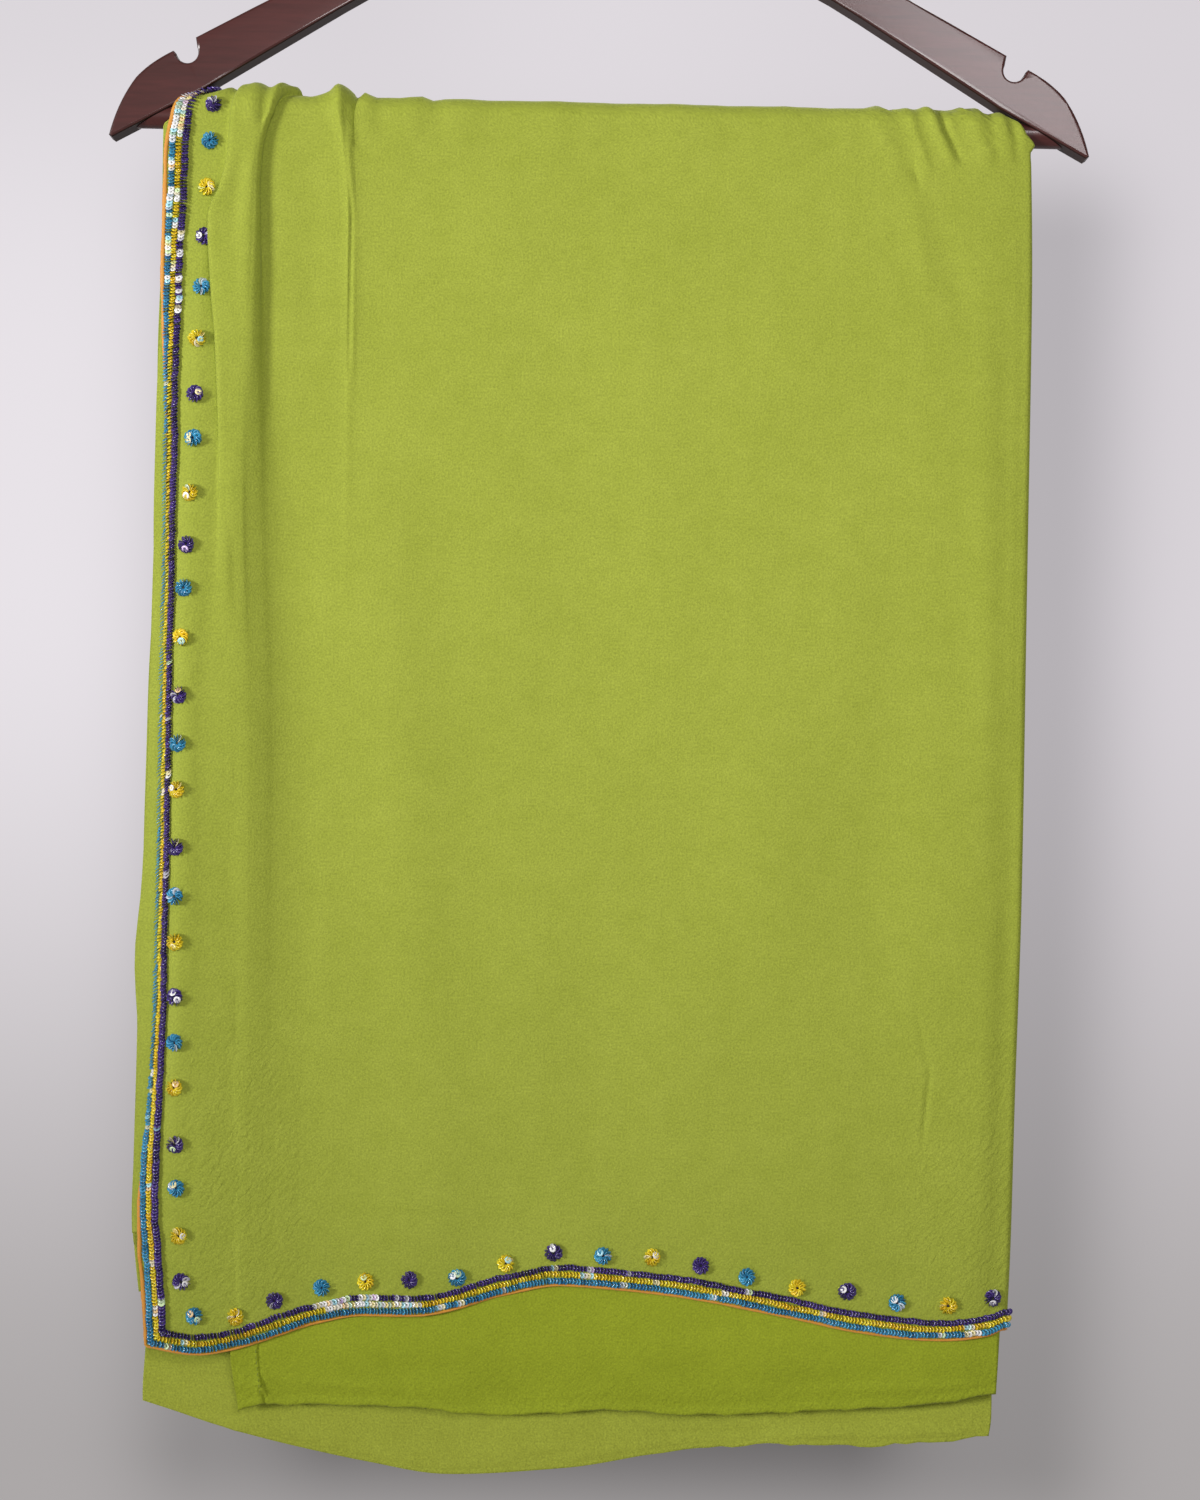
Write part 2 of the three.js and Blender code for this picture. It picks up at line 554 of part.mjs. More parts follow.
/** The trouser bar: round, coped to the arms' sloping undersides, with a tenon at each end. */
function trouserBar() {
  let bar = solid(rodAlongX(BAR_RADIUS, BAR_SIDES, -TIP_X, TIP_X));
  const [footX, footZ] = ARM_FOOT;
  const slope = Math.atan2(TIP_Z - footZ, TIP_X - TIP_FLAT - footX);
  for (const sign of [1, -1]) {
    const cope = new THREE.BoxGeometry(COPE_LENGTH, COPE_HEIGHT, COPE_HEIGHT)
      .translate(0, 0, COPE_HEIGHT / 2 - GAP).rotateY(-sign * slope)
      .translate(sign * footX, 0, BAR_Z + footZ);
    bar = bar.subtract(solid(cope));
    const ends = [sign * TENON_START_X, sign * TENON_END_X].sort((a, b) => a - b);
    bar = bar.add(solid(rodAlongX(TENON_RADIUS, HOLE_SIDES, ...ends)));
  }
  return geometryOf(bar);
}

/** The wire hook: a stem out of the board, a bend, and an open ring centred over the stem. */
function wireHook() {
  const onRing = (degrees) => new THREE.Vector3(
    HOOK_RING_RADIUS * Math.cos(radians(degrees)), 0,
    HOOK_RING_RADIUS * Math.sin(radians(degrees)) - HOOK_INNER_RADIUS);
  const start = onRing(HOOK_START);
  const bendZ = start.z - start.x / Math.tan(radians(-HOOK_START));
  const foot = new THREE.Vector3(0, 0, BOARD_TOP_Z - STEM_IN_BOARD + GAP);
  const stemTop = new THREE.Vector3(0, 0, bendZ - STEM_BEND);
  const path = new THREE.CatmullRomCurve3([
    foot, new THREE.Vector3(0, 0, mix(foot.z, stemTop.z, 0.5)), stemTop,
    ...new THREE.QuadraticBezierCurve3(stemTop, new THREE.Vector3(0, 0, bendZ), start)
      .getPoints(4).slice(1),
    ...evenly(RING_POINTS).slice(1).map((u) => onRing(mix(HOOK_START, HOOK_END, u))),
  ], false, 'centripetal');
  const section = new THREE.Shape().absarc(0, 0, WIRE_RADIUS, 0, 2 * Math.PI);
  return new THREE.ExtrudeGeometry(section, { steps: 60, curveSegments: 5, extrudePath: path });
}

const saree = new THREE.Group();
const hanger = new THREE.Group();

function addPiece(group, name, geometry, color, roughness, metalness = 0) {
  const mesh = new THREE.Mesh(geometry, new THREE.MeshStandardMaterial({ color, roughness, metalness }));
  mesh.name = name;
  group.add(mesh);
}

addPiece(hanger, 'hanger_board', hangerBoard(), COLOURS.wood, 0.35);
addPiece(hanger, 'trouser_bar', trouserBar(), COLOURS.barWood, 0.35);
addPiece(hanger, 'wire_hook', wireHook(), COLOURS.steel, 0.25, 1);
addPiece(saree, 'long_layer', longLayer(), COLOURS.greenLow, 0.7);
addPiece(saree, 'folded_layers', foldedLayers(), COLOURS.greenShade, 0.7);
addPiece(saree, 'inner_end_panel', innerEndPanel(), COLOURS.greenInner, 0.7);
addPiece(saree, 'outer_panel', outerPanel(), COLOURS.green, 0.7);
addPiece(saree, 'edge_piping', edgePiping(), COLOURS.orange, 0.6);
addPiece(saree, 'sequin_row_blue', sequinRow(TRIM.blue), COLOURS.blue, 0.3);
addPiece(saree, 'sequin_row_yellow', sequinRow(TRIM.yellow), COLOURS.yellow, 0.3);
addPiece(saree, 'sequin_row_purple', sequinRow(TRIM.purple), COLOURS.purple, 0.3);

const part = new THREE.Group();
part.add(hanger, saree);
export default part;
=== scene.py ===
"""A crepe saree with a sequinned border, hung over the bar of a notched wooden hanger.

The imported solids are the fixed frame. Every piece of cloth is a thin sheet on its solid's form, the
border is stitched on with sequins of real size, and the hanger is given its varnished wood and
steel. Tables are in millimetres; meshes are in metres, in the frame of the solids.

A place on the cloth is given by `s`, the distance down the front (positive) or the back (negative)
from the crown of the bend over the bar, and by `c`, the distance from the outer end's cut edge.
"""
import math

import bpy
import numpy as np
from mathutils import Matrix, Vector


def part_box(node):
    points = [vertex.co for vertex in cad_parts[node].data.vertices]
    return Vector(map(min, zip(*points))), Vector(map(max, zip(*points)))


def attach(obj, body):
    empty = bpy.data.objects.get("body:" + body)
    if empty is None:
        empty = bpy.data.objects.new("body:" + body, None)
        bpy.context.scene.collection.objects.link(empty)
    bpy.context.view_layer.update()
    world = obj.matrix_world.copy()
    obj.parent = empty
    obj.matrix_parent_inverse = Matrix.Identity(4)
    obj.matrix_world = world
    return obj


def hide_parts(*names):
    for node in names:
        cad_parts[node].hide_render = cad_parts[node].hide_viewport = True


bl_info = {
    "name": "Saree on a hanger",
    "version": (1, 0, 0),
    "blender": (4, 5, 0),
    "location": "View3D > Sidebar > Saree",
    "description": "Dresses a saree that hangs folded over the bar of a wooden hanger",
    "category": "Object",
}

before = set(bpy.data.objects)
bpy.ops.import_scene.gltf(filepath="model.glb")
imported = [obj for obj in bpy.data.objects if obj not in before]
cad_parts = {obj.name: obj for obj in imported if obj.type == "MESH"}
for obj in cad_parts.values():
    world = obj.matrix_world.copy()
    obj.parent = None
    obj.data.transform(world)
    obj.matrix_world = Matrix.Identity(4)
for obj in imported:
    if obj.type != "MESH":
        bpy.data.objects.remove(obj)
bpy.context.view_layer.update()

MM = 0.001
BODY = "root"
BAR_LOW, BAR_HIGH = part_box("trouser_bar")
BAR_Z = (BAR_LOW.z + BAR_HIGH.z) / 2 / MM
BAR_RADIUS = (BAR_HIGH.z - BAR_LOW.z) / 2 / MM
LINE_RADIUS = BAR_RADIUS + 0.3
BEND = LINE_RADIUS * math.pi / 2
SAREE_WIDTH = 1145.0
STACK_LOOSE_BELOW = 120.0
PASS_WIDTH = 386.0  # one layer, from fold to fold


# --- tables and the curves through them ---------------------------------------------------------

def table(names, rows):
    """Rows of numbers as named columns."""
    return dict(zip(names.split(), np.array(rows, float).T))


def hermite(a, b, slope_a, slope_b, t):
    """The cubic from a to b whose slopes are given over the whole step."""
    t2, t3 = t * t, t * t * t
    return ((2 * t3 - 3 * t2 + 1) * a + (t3 - 2 * t2 + t) * slope_a
            + (3 * t2 - 2 * t3) * b + (t3 - t2) * slope_b)


def read(tab, column, at, key="drop"):
    """A column read along its key by a smooth curve that never overshoots its rows."""
    x, y = tab[key], tab[column]
    step = np.diff(x)
    rate = np.diff(y) / step
    slope = np.concatenate([rate[:1], np.zeros(len(y) - 2), rate[-1:]])
    pair, total = rate[:-1] * rate[1:], rate[:-1] + rate[1:]
    turning = (pair <= 0) | (total == 0)
    slope[1:-1] = np.where(turning, 0, 2 * pair / np.where(turning, 1, total))
    at = np.clip(at, x[0], x[-1])
    k = np.clip(np.searchsorted(x, at, side="right") - 1, 0, len(step) - 1)
    return hermite(y[k], y[k + 1], slope[k] * step[k], slope[k + 1] * step[k], (at - x[k]) / step[k])


def through(labels, knots, at):
    """Smooth curves through rows of knots, one curve for each place in `at`."""
    labels = np.array(labels, float)
    slope = np.empty_like(knots)
    slope[1:-1] = (knots[2:] - knots[:-2]) / (labels[2:] - labels[:-2])[:, None]
    slope[0] = (knots[1] - knots[0]) / (labels[1] - labels[0])
    slope[-1] = (knots[-1] - knots[-2]) / (labels[-1] - labels[-2])
    k = np.clip(np.searchsorted(labels, at, side="right") - 1, 0, len(labels) - 2)
    n = np.arange(len(at))
    step = labels[k + 1] - labels[k]
    return hermite(knots[k, n], knots[k + 1, n], slope[k, n] * step, slope[k + 1, n] * step,
                   (at - labels[k]) / step)


def mix(a, b, t):
    return a + (b - a) * t


def ease(t):
    t = np.clip(t, 0, 1)
    return t * t * (3 - 2 * t)


def wobble(at, seed, wavelength, amount):
    """An uneven wave along a length, the same for the same seed."""
    rng = np.random.default_rng(seed)
    total = 0
    for octave in (1.0, 0.58, 0.31):
        phase, stretch = rng.uniform(0, 2 * math.pi), rng.uniform(0.85, 1.15)
        total = total + octave * np.sin(2 * math.pi * at / (wavelength * octave * stretch) + phase)
    return amount * total / 1.4


def unevenness(x, drop, seed, wavelength, amount):
    """An uneven surface of long low waves in all directions."""
    rng = np.random.default_rng(seed)
    total = 0
    for _ in range(9):
        turn, phase = rng.uniform(0, math.pi), rng.uniform(0, 2 * math.pi)
        length = wavelength * rng.uniform(0.6, 1.5)
        along = x * math.cos(turn) + drop * math.sin(turn)
        total = total + np.cos(2 * math.pi * along / length + phase)
    return amount * total / 3


def creases(tab, x, drop):
    """Soft ridges (positive) and troughs (negative) along the straight lines of a table."""
    total = np.zeros_like(x)
    for x0, d0, x1, d1, half_width, rise in zip(*tab.values()):
        length = math.hypot(x1 - x0, d1 - d0)
        way_x, way_d = (x1 - x0) / length, (d1 - d0) / length
        along = ((x - x0) * way_x + (drop - d0) * way_d) / length
        across = (x - x0) * way_d - (drop - d0) * way_x
        fade = np.clip(1 - np.abs(2 * along - 1) ** 3, 0, 1)
        total = total + rise * fade * np.exp(-(across / half_width) ** 2)
    return total


# --- the way the cloth hangs --------------------------------------------------------------------

def hang(x, s, lift):
    """Points of a layer at x, s and the lift off the innermost cloth line."""
    x, s, lift = np.broadcast_arrays(x, s, lift)
    side, reach, radius = np.sign(s), np.abs(s), LINE_RADIUS + lift
    angle = np.minimum(reach, BEND) / LINE_RADIUS
    below = np.maximum(reach - BEND, 0)
    return np.stack([x, -side * radius * np.sin(angle), BAR_Z + radius * np.cos(angle) - below], -1)


def drop_of(s):
    return np.abs(s) - BEND


def stack_top(drop):
    return 1.3 + mix(1.0, 4.0, ease(drop / STACK_LOOSE_BELOW))


def inner_top(drop):
    return stack_top(drop) + mix(0.5, 1.0, ease(drop / 40))


def outer_top(drop):
    return stack_top(drop) + mix(1.7, 2.6, ease(drop / 40))


def pressed(distance):
    """How much the layers are pressed together at a distance from the right-hand fold."""
    return 1 - 0.26 * np.exp(-(np.maximum(distance, 0) / 10) ** 2)


def fold_radius(drop):
    return outer_top(drop) * pressed(0) / 2


def rest_of_width(drop, lift):
    return SAREE_WIDTH - drop - math.pi * (LINE_RADIUS + lift)


STACK_LEFT = table("drop x", [
    (-BEND, -178), (-5, -184.5), (0, -191.6), (6, -199.0), (60, -198.6), (132, -198.6),
    (222, -199.3), (313, -199.9), (350, -200.6), (385, -202.6), (420, -201.6), (494, -202),
    (540, -198), (575, -193.6), (612, -192)])
RIGHT_FOLD = table("drop x", [
    (-BEND, 180), (-7, 184.6), (-5, 186.5), (-3.5, 190.4), (0, 193.6), (2, 194.6), (4, 196.7),
    (6.5, 198.1), (10, 196.2), (16, 196.6), (78, 198.2), (213, 198.9), (349, 199.6), (439, 198.6),
    (500, 198.2), (560, 196.5), (612, 193.5)])
MARGIN = "drop edge edge_rise blue blue_rise purple purple_rise rosette rosette_rise crest"
PLEAT = "drop left under under_rise band left_soft right over right_soft crease ridge ridge_width"

# The trimmed margin, from the cut edge in: it lies flat at the top, then stands on a crest beyond
# the rosettes and tucks its edge under itself, and opens again towards the hem.
FRONT_MARGIN = table(MARGIN, [
    (-BEND, -180.2, 0.0, -177.8, 0.1, -174.2, 0.5, -168.2, 3.0, 0),
    (-7.5, -182.0, 0.0, -179.6, 0.1, -175.6, 0.6, -169.0, 3.0, 0),
    (-5.6, -187.6, 0.1, -184.8, 0.3, -180.2, 0.8, -171.4, 2.7, 0),
    (-4, -191.4, 0.1, -188.3, 0.3, -183.2, 0.9, -173.2, 2.3, 0),
    (0, -194.1, 0.1, -191.0, 0.3, -185.4, 0.7, -175.0, 1.6, 0),
    (17, -196.8, 0.2, -193.2, 0.4, -187.0, 0.8, -176.0, 1.5, 0),
    (48, -197.0, 0.2, -193.3, 0.4, -187.4, 0.9, -177.0, 2.0, 0),
    (80, -196.6, 0.0, -193.6, 0.4, -188.0, 1.6, -177.6, 3.4, 0),
    (105, -195.2, -0.6, -192.8, 0.4, -188.0, 2.8, -178.6, 5.2, 0.3),
    (140, -192.6, -1.2, -191.8, 0.8, -187.4, 4.6, -178.8, 7.4, 0.5),
    (200, -190.8, -1.4, -191.0, 1.2, -187.0, 5.6, -180.6, 9.0, 0.9),
    (260, -190.2, -1.5, -190.8, 1.3, -186.8, 5.8, -182.2, 9.4, 1.1),
    (330, -189.8, -1.5, -190.4, 1.3, -186.3, 6.0, -182.2, 9.4, 1.1),
    (400, -190.0, -1.4, -190.4, 1.2, -186.3, 5.2, -181.2, 8.6, 0.8),
    (450, -192.4, -1.0, -192.2, 1.0, -187.6, 3.8, -180.6, 6.8, 0.4),
    (475, -195.2, -0.3, -194.4, 0.7, -189.0, 2.6, -180.0, 4.8, 0),
    (497, -197.6, 0.1, -194.6, 0.5, -188.8, 1.8, -178.8, 3.4, 0),
    (516, -197.2, 0.2, -193.2, 0.4, -187.6, 1.2, -177.6, 2.4, 0),
    (534, -194.9, 0.2, -191.6, 0.3, -186.0, 0.9, -176.2, 1.6, 0),
    (562, -193.4, 0.1, -189.6, 0.2, -183.8, 0.5, -173.2, 0.8, 0)])
BACK_MARGIN = table(MARGIN, [
    (-BEND, -180.2, 0.0, -177.8, 0.1, -174.2, 0.5, -168.2, 3.0, 0),
    (-7.5, -182.0, 0.0, -179.6, 0.1, -175.6, 0.6, -169.0, 2.8, 0),
    (-5.6, -187.2, 0.1, -184.4, 0.3, -179.8, 0.8, -171.0, 2.3, 0),
    (-4, -190.8, 0.1, -187.6, 0.3, -182.4, 0.9, -172.4, 1.9, 0),
    (0, -193.4, 0.1, -190.2, 0.3, -184.4, 0.6, -174.2, 1.0, 0),
    (20, -196.4, 0.2, -192.9, 0.4, -186.8, 0.8, -177.0, 1.5, 0),
    (90, -196.6, 0.0, -193.2, 0.3, -187.4, 1.2, -177.8, 2.6, 0),
    (160, -195.8, -0.4, -193.4, 0.5, -188.4, 2.6, -179.6, 4.6, 0.6),
    (220, -195.0, -0.6, -193.2, 0.8, -188.6, 3.4, -180.2, 5.6, 1.0),
    (300, -195.4, -0.4, -193.4, 0.8, -188.4, 3.0, -179.8, 5.2, 0.6),
    (380, -196.4, -0.2, -194.4, 0.5, -189.4, 2.6, -180.4, 4.8, 0.4),
    (440, -198.4, -0.4, -198.4, 0.9, -195.2, 4.4, -189.0, 8.0, 1.6),
    (490, -199.0, -0.6, -200.0, 1.2, -197.4, 5.6, -192.4, 10.0, 2.4),
    (530, -197.4, -0.2, -197.4, 0.9, -193.4, 4.2, -186.4, 7.4, 1.4),
    (575, -192.4, 0.1, -189.0, 0.2, -183.0, 1.0, -173.6, 2.0, 0)])

# The pleat beside it: the fold line that laps over the margin, the band, the fold line that laps
# over the plain cloth, and the crease pinched up beyond. Both fold lines open out softly lower down.
FRONT_PLEAT = table(PLEAT, [
    (-BEND, -162.4, -1.6, 1.6, 4.6, 0.0, -136.8, -1.2, 0.0, -119.2, 5.8, 8.6),
    (-8.2, -163.0, -1.6, 1.6, 4.7, 0.0, -140.4, -0.6, 0.0, -119.0, 5.6, 8.2),
    (-5, -164.4, -1.6, 1.8, 4.8, 0.0, -144.2, 0.2, 0.0, -118.4, 4.8, 7.0),
    (0, -166.4, -1.4, 2.0, 5.0, 0.0, -147.2, 0.8, 0.0, -117.4, 3.6, 5.4),
    (6, -166.8, -1.2, 2.0, 5.1, 0.0, -149.6, 1.2, 0.0, -116.2, 2.8, 4.4),
    (17, -167.4, -0.6, 2.0, 5.4, 0.0, -151.8, 1.4, 0.0, -114.4, 2.1, 3.4),
    (34, -170.8, 1.2, 1.6, 5.8, 0.0, -152.6, 1.5, 0.0, -112.8, 1.6, 2.8),
    (48, -175.8, 2.6, 1.4, 6.2, 0.0, -152.0, 1.5, 0.1, -112.2, 1.3, 2.8),
    (80, -173.6, 3.4, 2.0, 7.2, 0.0, -151.4, 1.4, 0.3, -111.6, 1.0, 3.0),
    (105, -170.8, 3.2, 3.6, 8.0, 0.0, -151.0, 1.2, 0.4, -111.0, 0.7, 3.4),
    (140, -168.6, 2.4, 6.0, 8.6, 0.1, -150.0, 1.0, 0.7, -110.4, 0.4, 4.0),
    (200, -166.4, 0.0, 8.2, 8.8, 0.5, -147.8, 0.8, 1.0, -109.6, 0.2, 5.0),
    (260, -165.0, -3.0, 8.8, 8.4, 1.0, -144.2, 0.4, 1.0, -108.4, 0.0, 5.0),
    (330, -163.4, -4.0, 8.6, 7.2, 1.0, -142.8, 0.0, 1.0, -107.0, 0.0, 5.0),
    (400, -162.0, -4.0, 7.4, 5.6, 1.0, -141.8, -0.6, 1.0, -106.0, 0.0, 5.0),
    (450, -160.4, -4.0, 6.0, 4.2, 1.0, -141.2, -1.5, 1.0, -105.0, 0.0, 5.0),
    (490, -158.8, -4.0, 3.8, 2.6, 1.0, -141.0, -2.0, 1.0, -104.0, 0.0, 5.0),
    (530, -157.0, -4.0, 1.4, 1.0, 1.0, -141.0, -2.0, 1.0, -104.0, 0.0, 5.0),
    (562, -155.0, -4.0, 0.6, 0.3, 1.0, -138.0, -2.0, 1.0, -104.0, 0.0, 5.0)])
BACK_PLEAT = table(PLEAT, [
    (-BEND, -162.4, -1.6, 1.6, 4.6, 0.0, -136.8, -1.2, 0.0, -119.2, 5.8, 8.6),
    (-8.2, -162.6, -1.6, 1.6, 4.6, 0.0, -138.0, -0.6, 0.0, -119.0, 5.6, 8.2),
    (-5, -163.4, -1.6, 1.8, 4.5, 0.0, -139.8, 0.2, 0.0, -118.8, 4.8, 7.0),
    (0, -165.0, -1.6, 2.0, 4.4, 0.0, -142.0, 0.8, 0.0, -118.0, 3.8, 5.6),
    (20, -168.6, -1.2, 2.2, 4.4, 0.0, -145.0, 1.3, 0.0, -116.0, 2.2, 3.4),
    (90, -167.0, 1.4, 2.4, 4.8, 0.1, -144.0, 1.3, 0.0, -113.0, 1.2, 3.0),
    (160, -165.4, 1.0, 3.6, 5.0, 0.4, -142.6, 1.0, 0.1, -111.6, 0.8, 3.4),
    (220, -163.4, -1.6, 4.4, 4.4, 1.0, -139.0, 0.6, 0.3, -110.0, 0.4, 5.0),
    (300, -161.4, -3.6, 3.8, 3.0, 1.0, -136.4, -0.2, 0.8, -109.4, 0.0, 5.0),
    (380, -160.4, -4.0, 3.0, 1.6, 1.0, -135.0, -1.2, 1.0, -109.0, 0.0, 5.0),
    (490, -160.0, -4.0, 4.4, 1.2, 1.0, -134.0, -2.0, 1.0, -108.6, 0.0, 5.0),
    (575, -157.0, -4.0, 0.6, 0.1, 1.0, -133.0, -2.0, 1.0, -108.0, 0.0, 5.0)])

OUTER_HEM = table("x drop", [
    (-193, 560.0), (-169, 563.1), (-155, 560.8), (-139.5, 556.3), (-125.7, 551.4), (-112, 546.9),
    (-95.5, 543.8), (-70, 543.3), (-57, 541), (-32, 533.4), (-5, 528.2), (38, 531.1), (104, 541.6),
    (128, 546.2), (163, 549.2), (187, 547), (198, 541.7)])
INNER_HEM = table("x drop", [
    (-150, 588.2), (-137, 585.6), (-79, 585.3), (-38, 588.2), (22, 584.8), (46, 586.3),
    (106, 583.4), (164, 578.8), (194, 573.5)])
LONG_HEM = table("x drop", [
    (-195.3, 587), (-156.7, 598.2), (-123, 606.4), (-91.6, 612.3), (-56, 617.2), (-1, 613.1),
    (40.6, 605.6), (70, 602.2), (106.7, 599.9), (130, 600.4), (154.4, 598.7), (191, 594.9)])

# Creases and gathers pressed into the plain cloth, each a line with its half width and rise.
CREASE = "x0 drop0 x1 drop1 half_width rise"
FRONT_CREASES = table(CREASE, [
    # the gathers from the crown, from left to right
    (-156, -16, -158, 10, 3.4, 0.9), (-149.6, -16, -152, 8, 2.2, -1.4), (-143.4, -16, -147, 2, 2.4, 1.1),
    (-161, 16, -165, 60, 3.0, -0.7), (-158, 6, -158, 90, 4.0, 0.5),
    (-116.6, -4, -111.6, 46, 0.8, -1.0), (-111.6, 36, -110.8, 120, 0.8, -0.9),
    (-114.2, 0, -109.6, 50, 1.2, 0.6), (-109.6, 40, -108.8, 130, 1.2, 0.5),
    (-111, -16, -110, 16, 1.0, -1.6), (-108.2, -17, -106.4, 12, 1.6, 2.8),
    (-111, 11, -104.6, 19, 0.9, -0.8), (-113, 6, -106, 15, 1.2, 0.5),
    (-104.6, -16, -103, 6, 1.6, -1.0), (-101, -6, -99, 16, 2.2, -0.7), (-94, -10, -92, 30, 3.2, 0.5),
    (-87, 2, -86.6, 18, 1.0, -0.6), (-82.4, -17, -85, 14, 3.6, 1.5), (-76, -16, -74, 8, 2.6, -1.0),
    (-130, 8, -128, 110, 5.0, -0.7), (-62, -14, -64, 22, 5.0, 0.5), (-48, -12, -49, 20, 4.0, -0.5),
    (-20, -14, -22, 26, 6.0, 0.5), (8, -12, 9, 22, 5.0, -0.5), (34, -14, 36, 24, 5.0, 0.5),
    (60, -12, 61, 20, 4.0, -0.5), (84, -14, 82, 24, 4.0, 0.5), (104, -12, 106, 18, 4.0, -0.5),
    # the creases that fan out from the right-hand corner
    (122, -17, 140, 26, 2.8, 1.8), (130, -12, 147, 28, 1.5, -1.5), (137, -14, 151, 22, 2.2, 1.0),
    (144, -17, 162, 18, 2.4, 1.8), (151, -12, 166, 17, 1.3, -1.4), (157.4, -12, 168.6, 4, 1.1, -1.4),
    (160, -17, 172, 8, 1.8, 1.9), (169, -17, 178, 20, 2.0, 2.2), (174.6, -15, 182, 14, 1.2, -1.6),
    (180, -17, 187, 16, 1.8, 2.3), (186.8, -9, 190.6, 7, 0.9, -2.0), (190, -9, 194, 12, 1.3, 1.6),
    (150, 30, 170, 90, 5.0, -0.5), (140, 24, 152, 80, 4.0, 0.5),
    # small folds pressed into the fall
    (18, 277, 58, 277.6, 0.9, -1.0), (16, 274.6, 60, 275.2, 1.4, 0.6), (16, 280, 60, 280.6, 1.6, 0.6),
    (151.6, 400, 160, 429, 0.8, -0.9), (160, 424, 156, 461, 0.8, -1.0),
    (-124, 507, -52, 503, 1.8, 0.9), (-122, 510.6, -64, 507.4, 1.2, -0.9),
    (120, 506.4, 197, 509.4, 1.6, 0.9), (116, 509.4, 195, 512.4, 0.9, -1.2),
    (34, 498, 104, 505, 3.0, 0.6), (-30, 486, 40, 489, 4.0, 0.6), (-88, 492, -20, 497, 3.0, 0.5),
    (176, 60, 184, 330, 7.0, 0.8), (190, 30, 193, 320, 3.0, 0.6), (186, 330, 184, 520, 4.0, 0.7),
    (-96, 150, -60, 520, 16.0, 1.0), (-30, 120, 10, 500, 20.0, -0.9),
    (70, 100, 96, 500, 18.0, 0.9), (138, 120, 132, 470, 12.0, -0.6)])
BACK_CREASES = table(CREASE, [
    (-154, -16, -155, 14, 3.4, 0.8), (-148, -16, -149, 10, 2.2, -1.2), (-142, -16, -144, 4, 2.4, 0.9),
    (-115.4, -4, -112, 50, 0.9, -0.9), (-111, -16, -110, 14, 1.0, -1.4), (-108.2, -17, -107, 10, 1.6, 2.6),
    (-104.6, -16, -103, 8, 1.6, -1.0), (-94, -12, -92, 26, 3.2, 0.6), (-82.4, -17, -80, 16, 3.6, 1.4),
    (-76, -16, -73, 10, 2.6, -1.0), (-50, -14, -54, 18, 3.0, -0.5), (-14, -14, -11, 24, 5.0, 0.5),
    (30, -12, 33, 18, 3.0, -0.5), (70, -14, 66, 26, 4.0, 0.6), (96, -12, 97, 20, 2.4, -0.7),
    (124, -16, 112, 26, 2.8, 1.2), (131, -12, 118, 24, 2.2, -1.1), (145, -16, 136, 18, 2.4, 1.1),
    (152, -12, 142, 18, 1.8, -1.2), (160, -16, 154, 12, 1.8, 1.0), (168.6, -17, 166, 16, 2.2, 1.3),
    (175, -14, 173, 12, 1.6, -1.0), (181, -17, 182, 12, 2.2, 1.5),
    (-64, 236, -20, 238, 2.0, 0.6), (-66, 240, -18, 242, 2.0, -0.8),
    (112, 346, 121, 392, 1.6, -1.1), (107, 346, 116, 392, 2.4, 0.8),
    (30, 500, 120, 508, 2.6, 0.6), (28, 506, 118, 514, 2.4, -0.6), (-128, 520, -60, 514, 2.6, 0.6),
    (-90, 140, -70, 520, 18.0, 0.9), (-10, 110, 20, 500, 20.0, -0.8), (96, 120, 84, 500, 18.0, 0.9),
    (150, 130, 158, 470, 12.0, -0.6), (188, 40, 190, 480, 3.6, 0.7)])

LONG_CREASES = table(CREASE, [
    (-160, 601, -146, 585, 1.0, 1.0), (-156, 602, -142, 586, 1.2, -0.9), (-190, 590, -110, 594, 3.0, 0.6),
    (-30, 612, 4, 606, 2.2, 0.8), (90, 590, 180, 588, 1.8, 1.0), (88, 595, 184, 593, 1.3, -0.9),
    (30, 597, 110, 594, 2.0, 0.8), (-80, 604, 10, 600, 2.4, 0.6), (110, 584, 188, 581, 1.6, 0.7)])

SECTION_LABELS = [0, 4, 10.2, 20, 24, 27, 29, 31, 33, 40, 50, 52, 53.5, 55, 60, 80, 86, 89, 90.5,
                  92, 96, 102, 380]
FOLD_START = 380.0
FOLD_END = 392.0
LIP = 6.4  # height of the pleat at its right-hand fold line


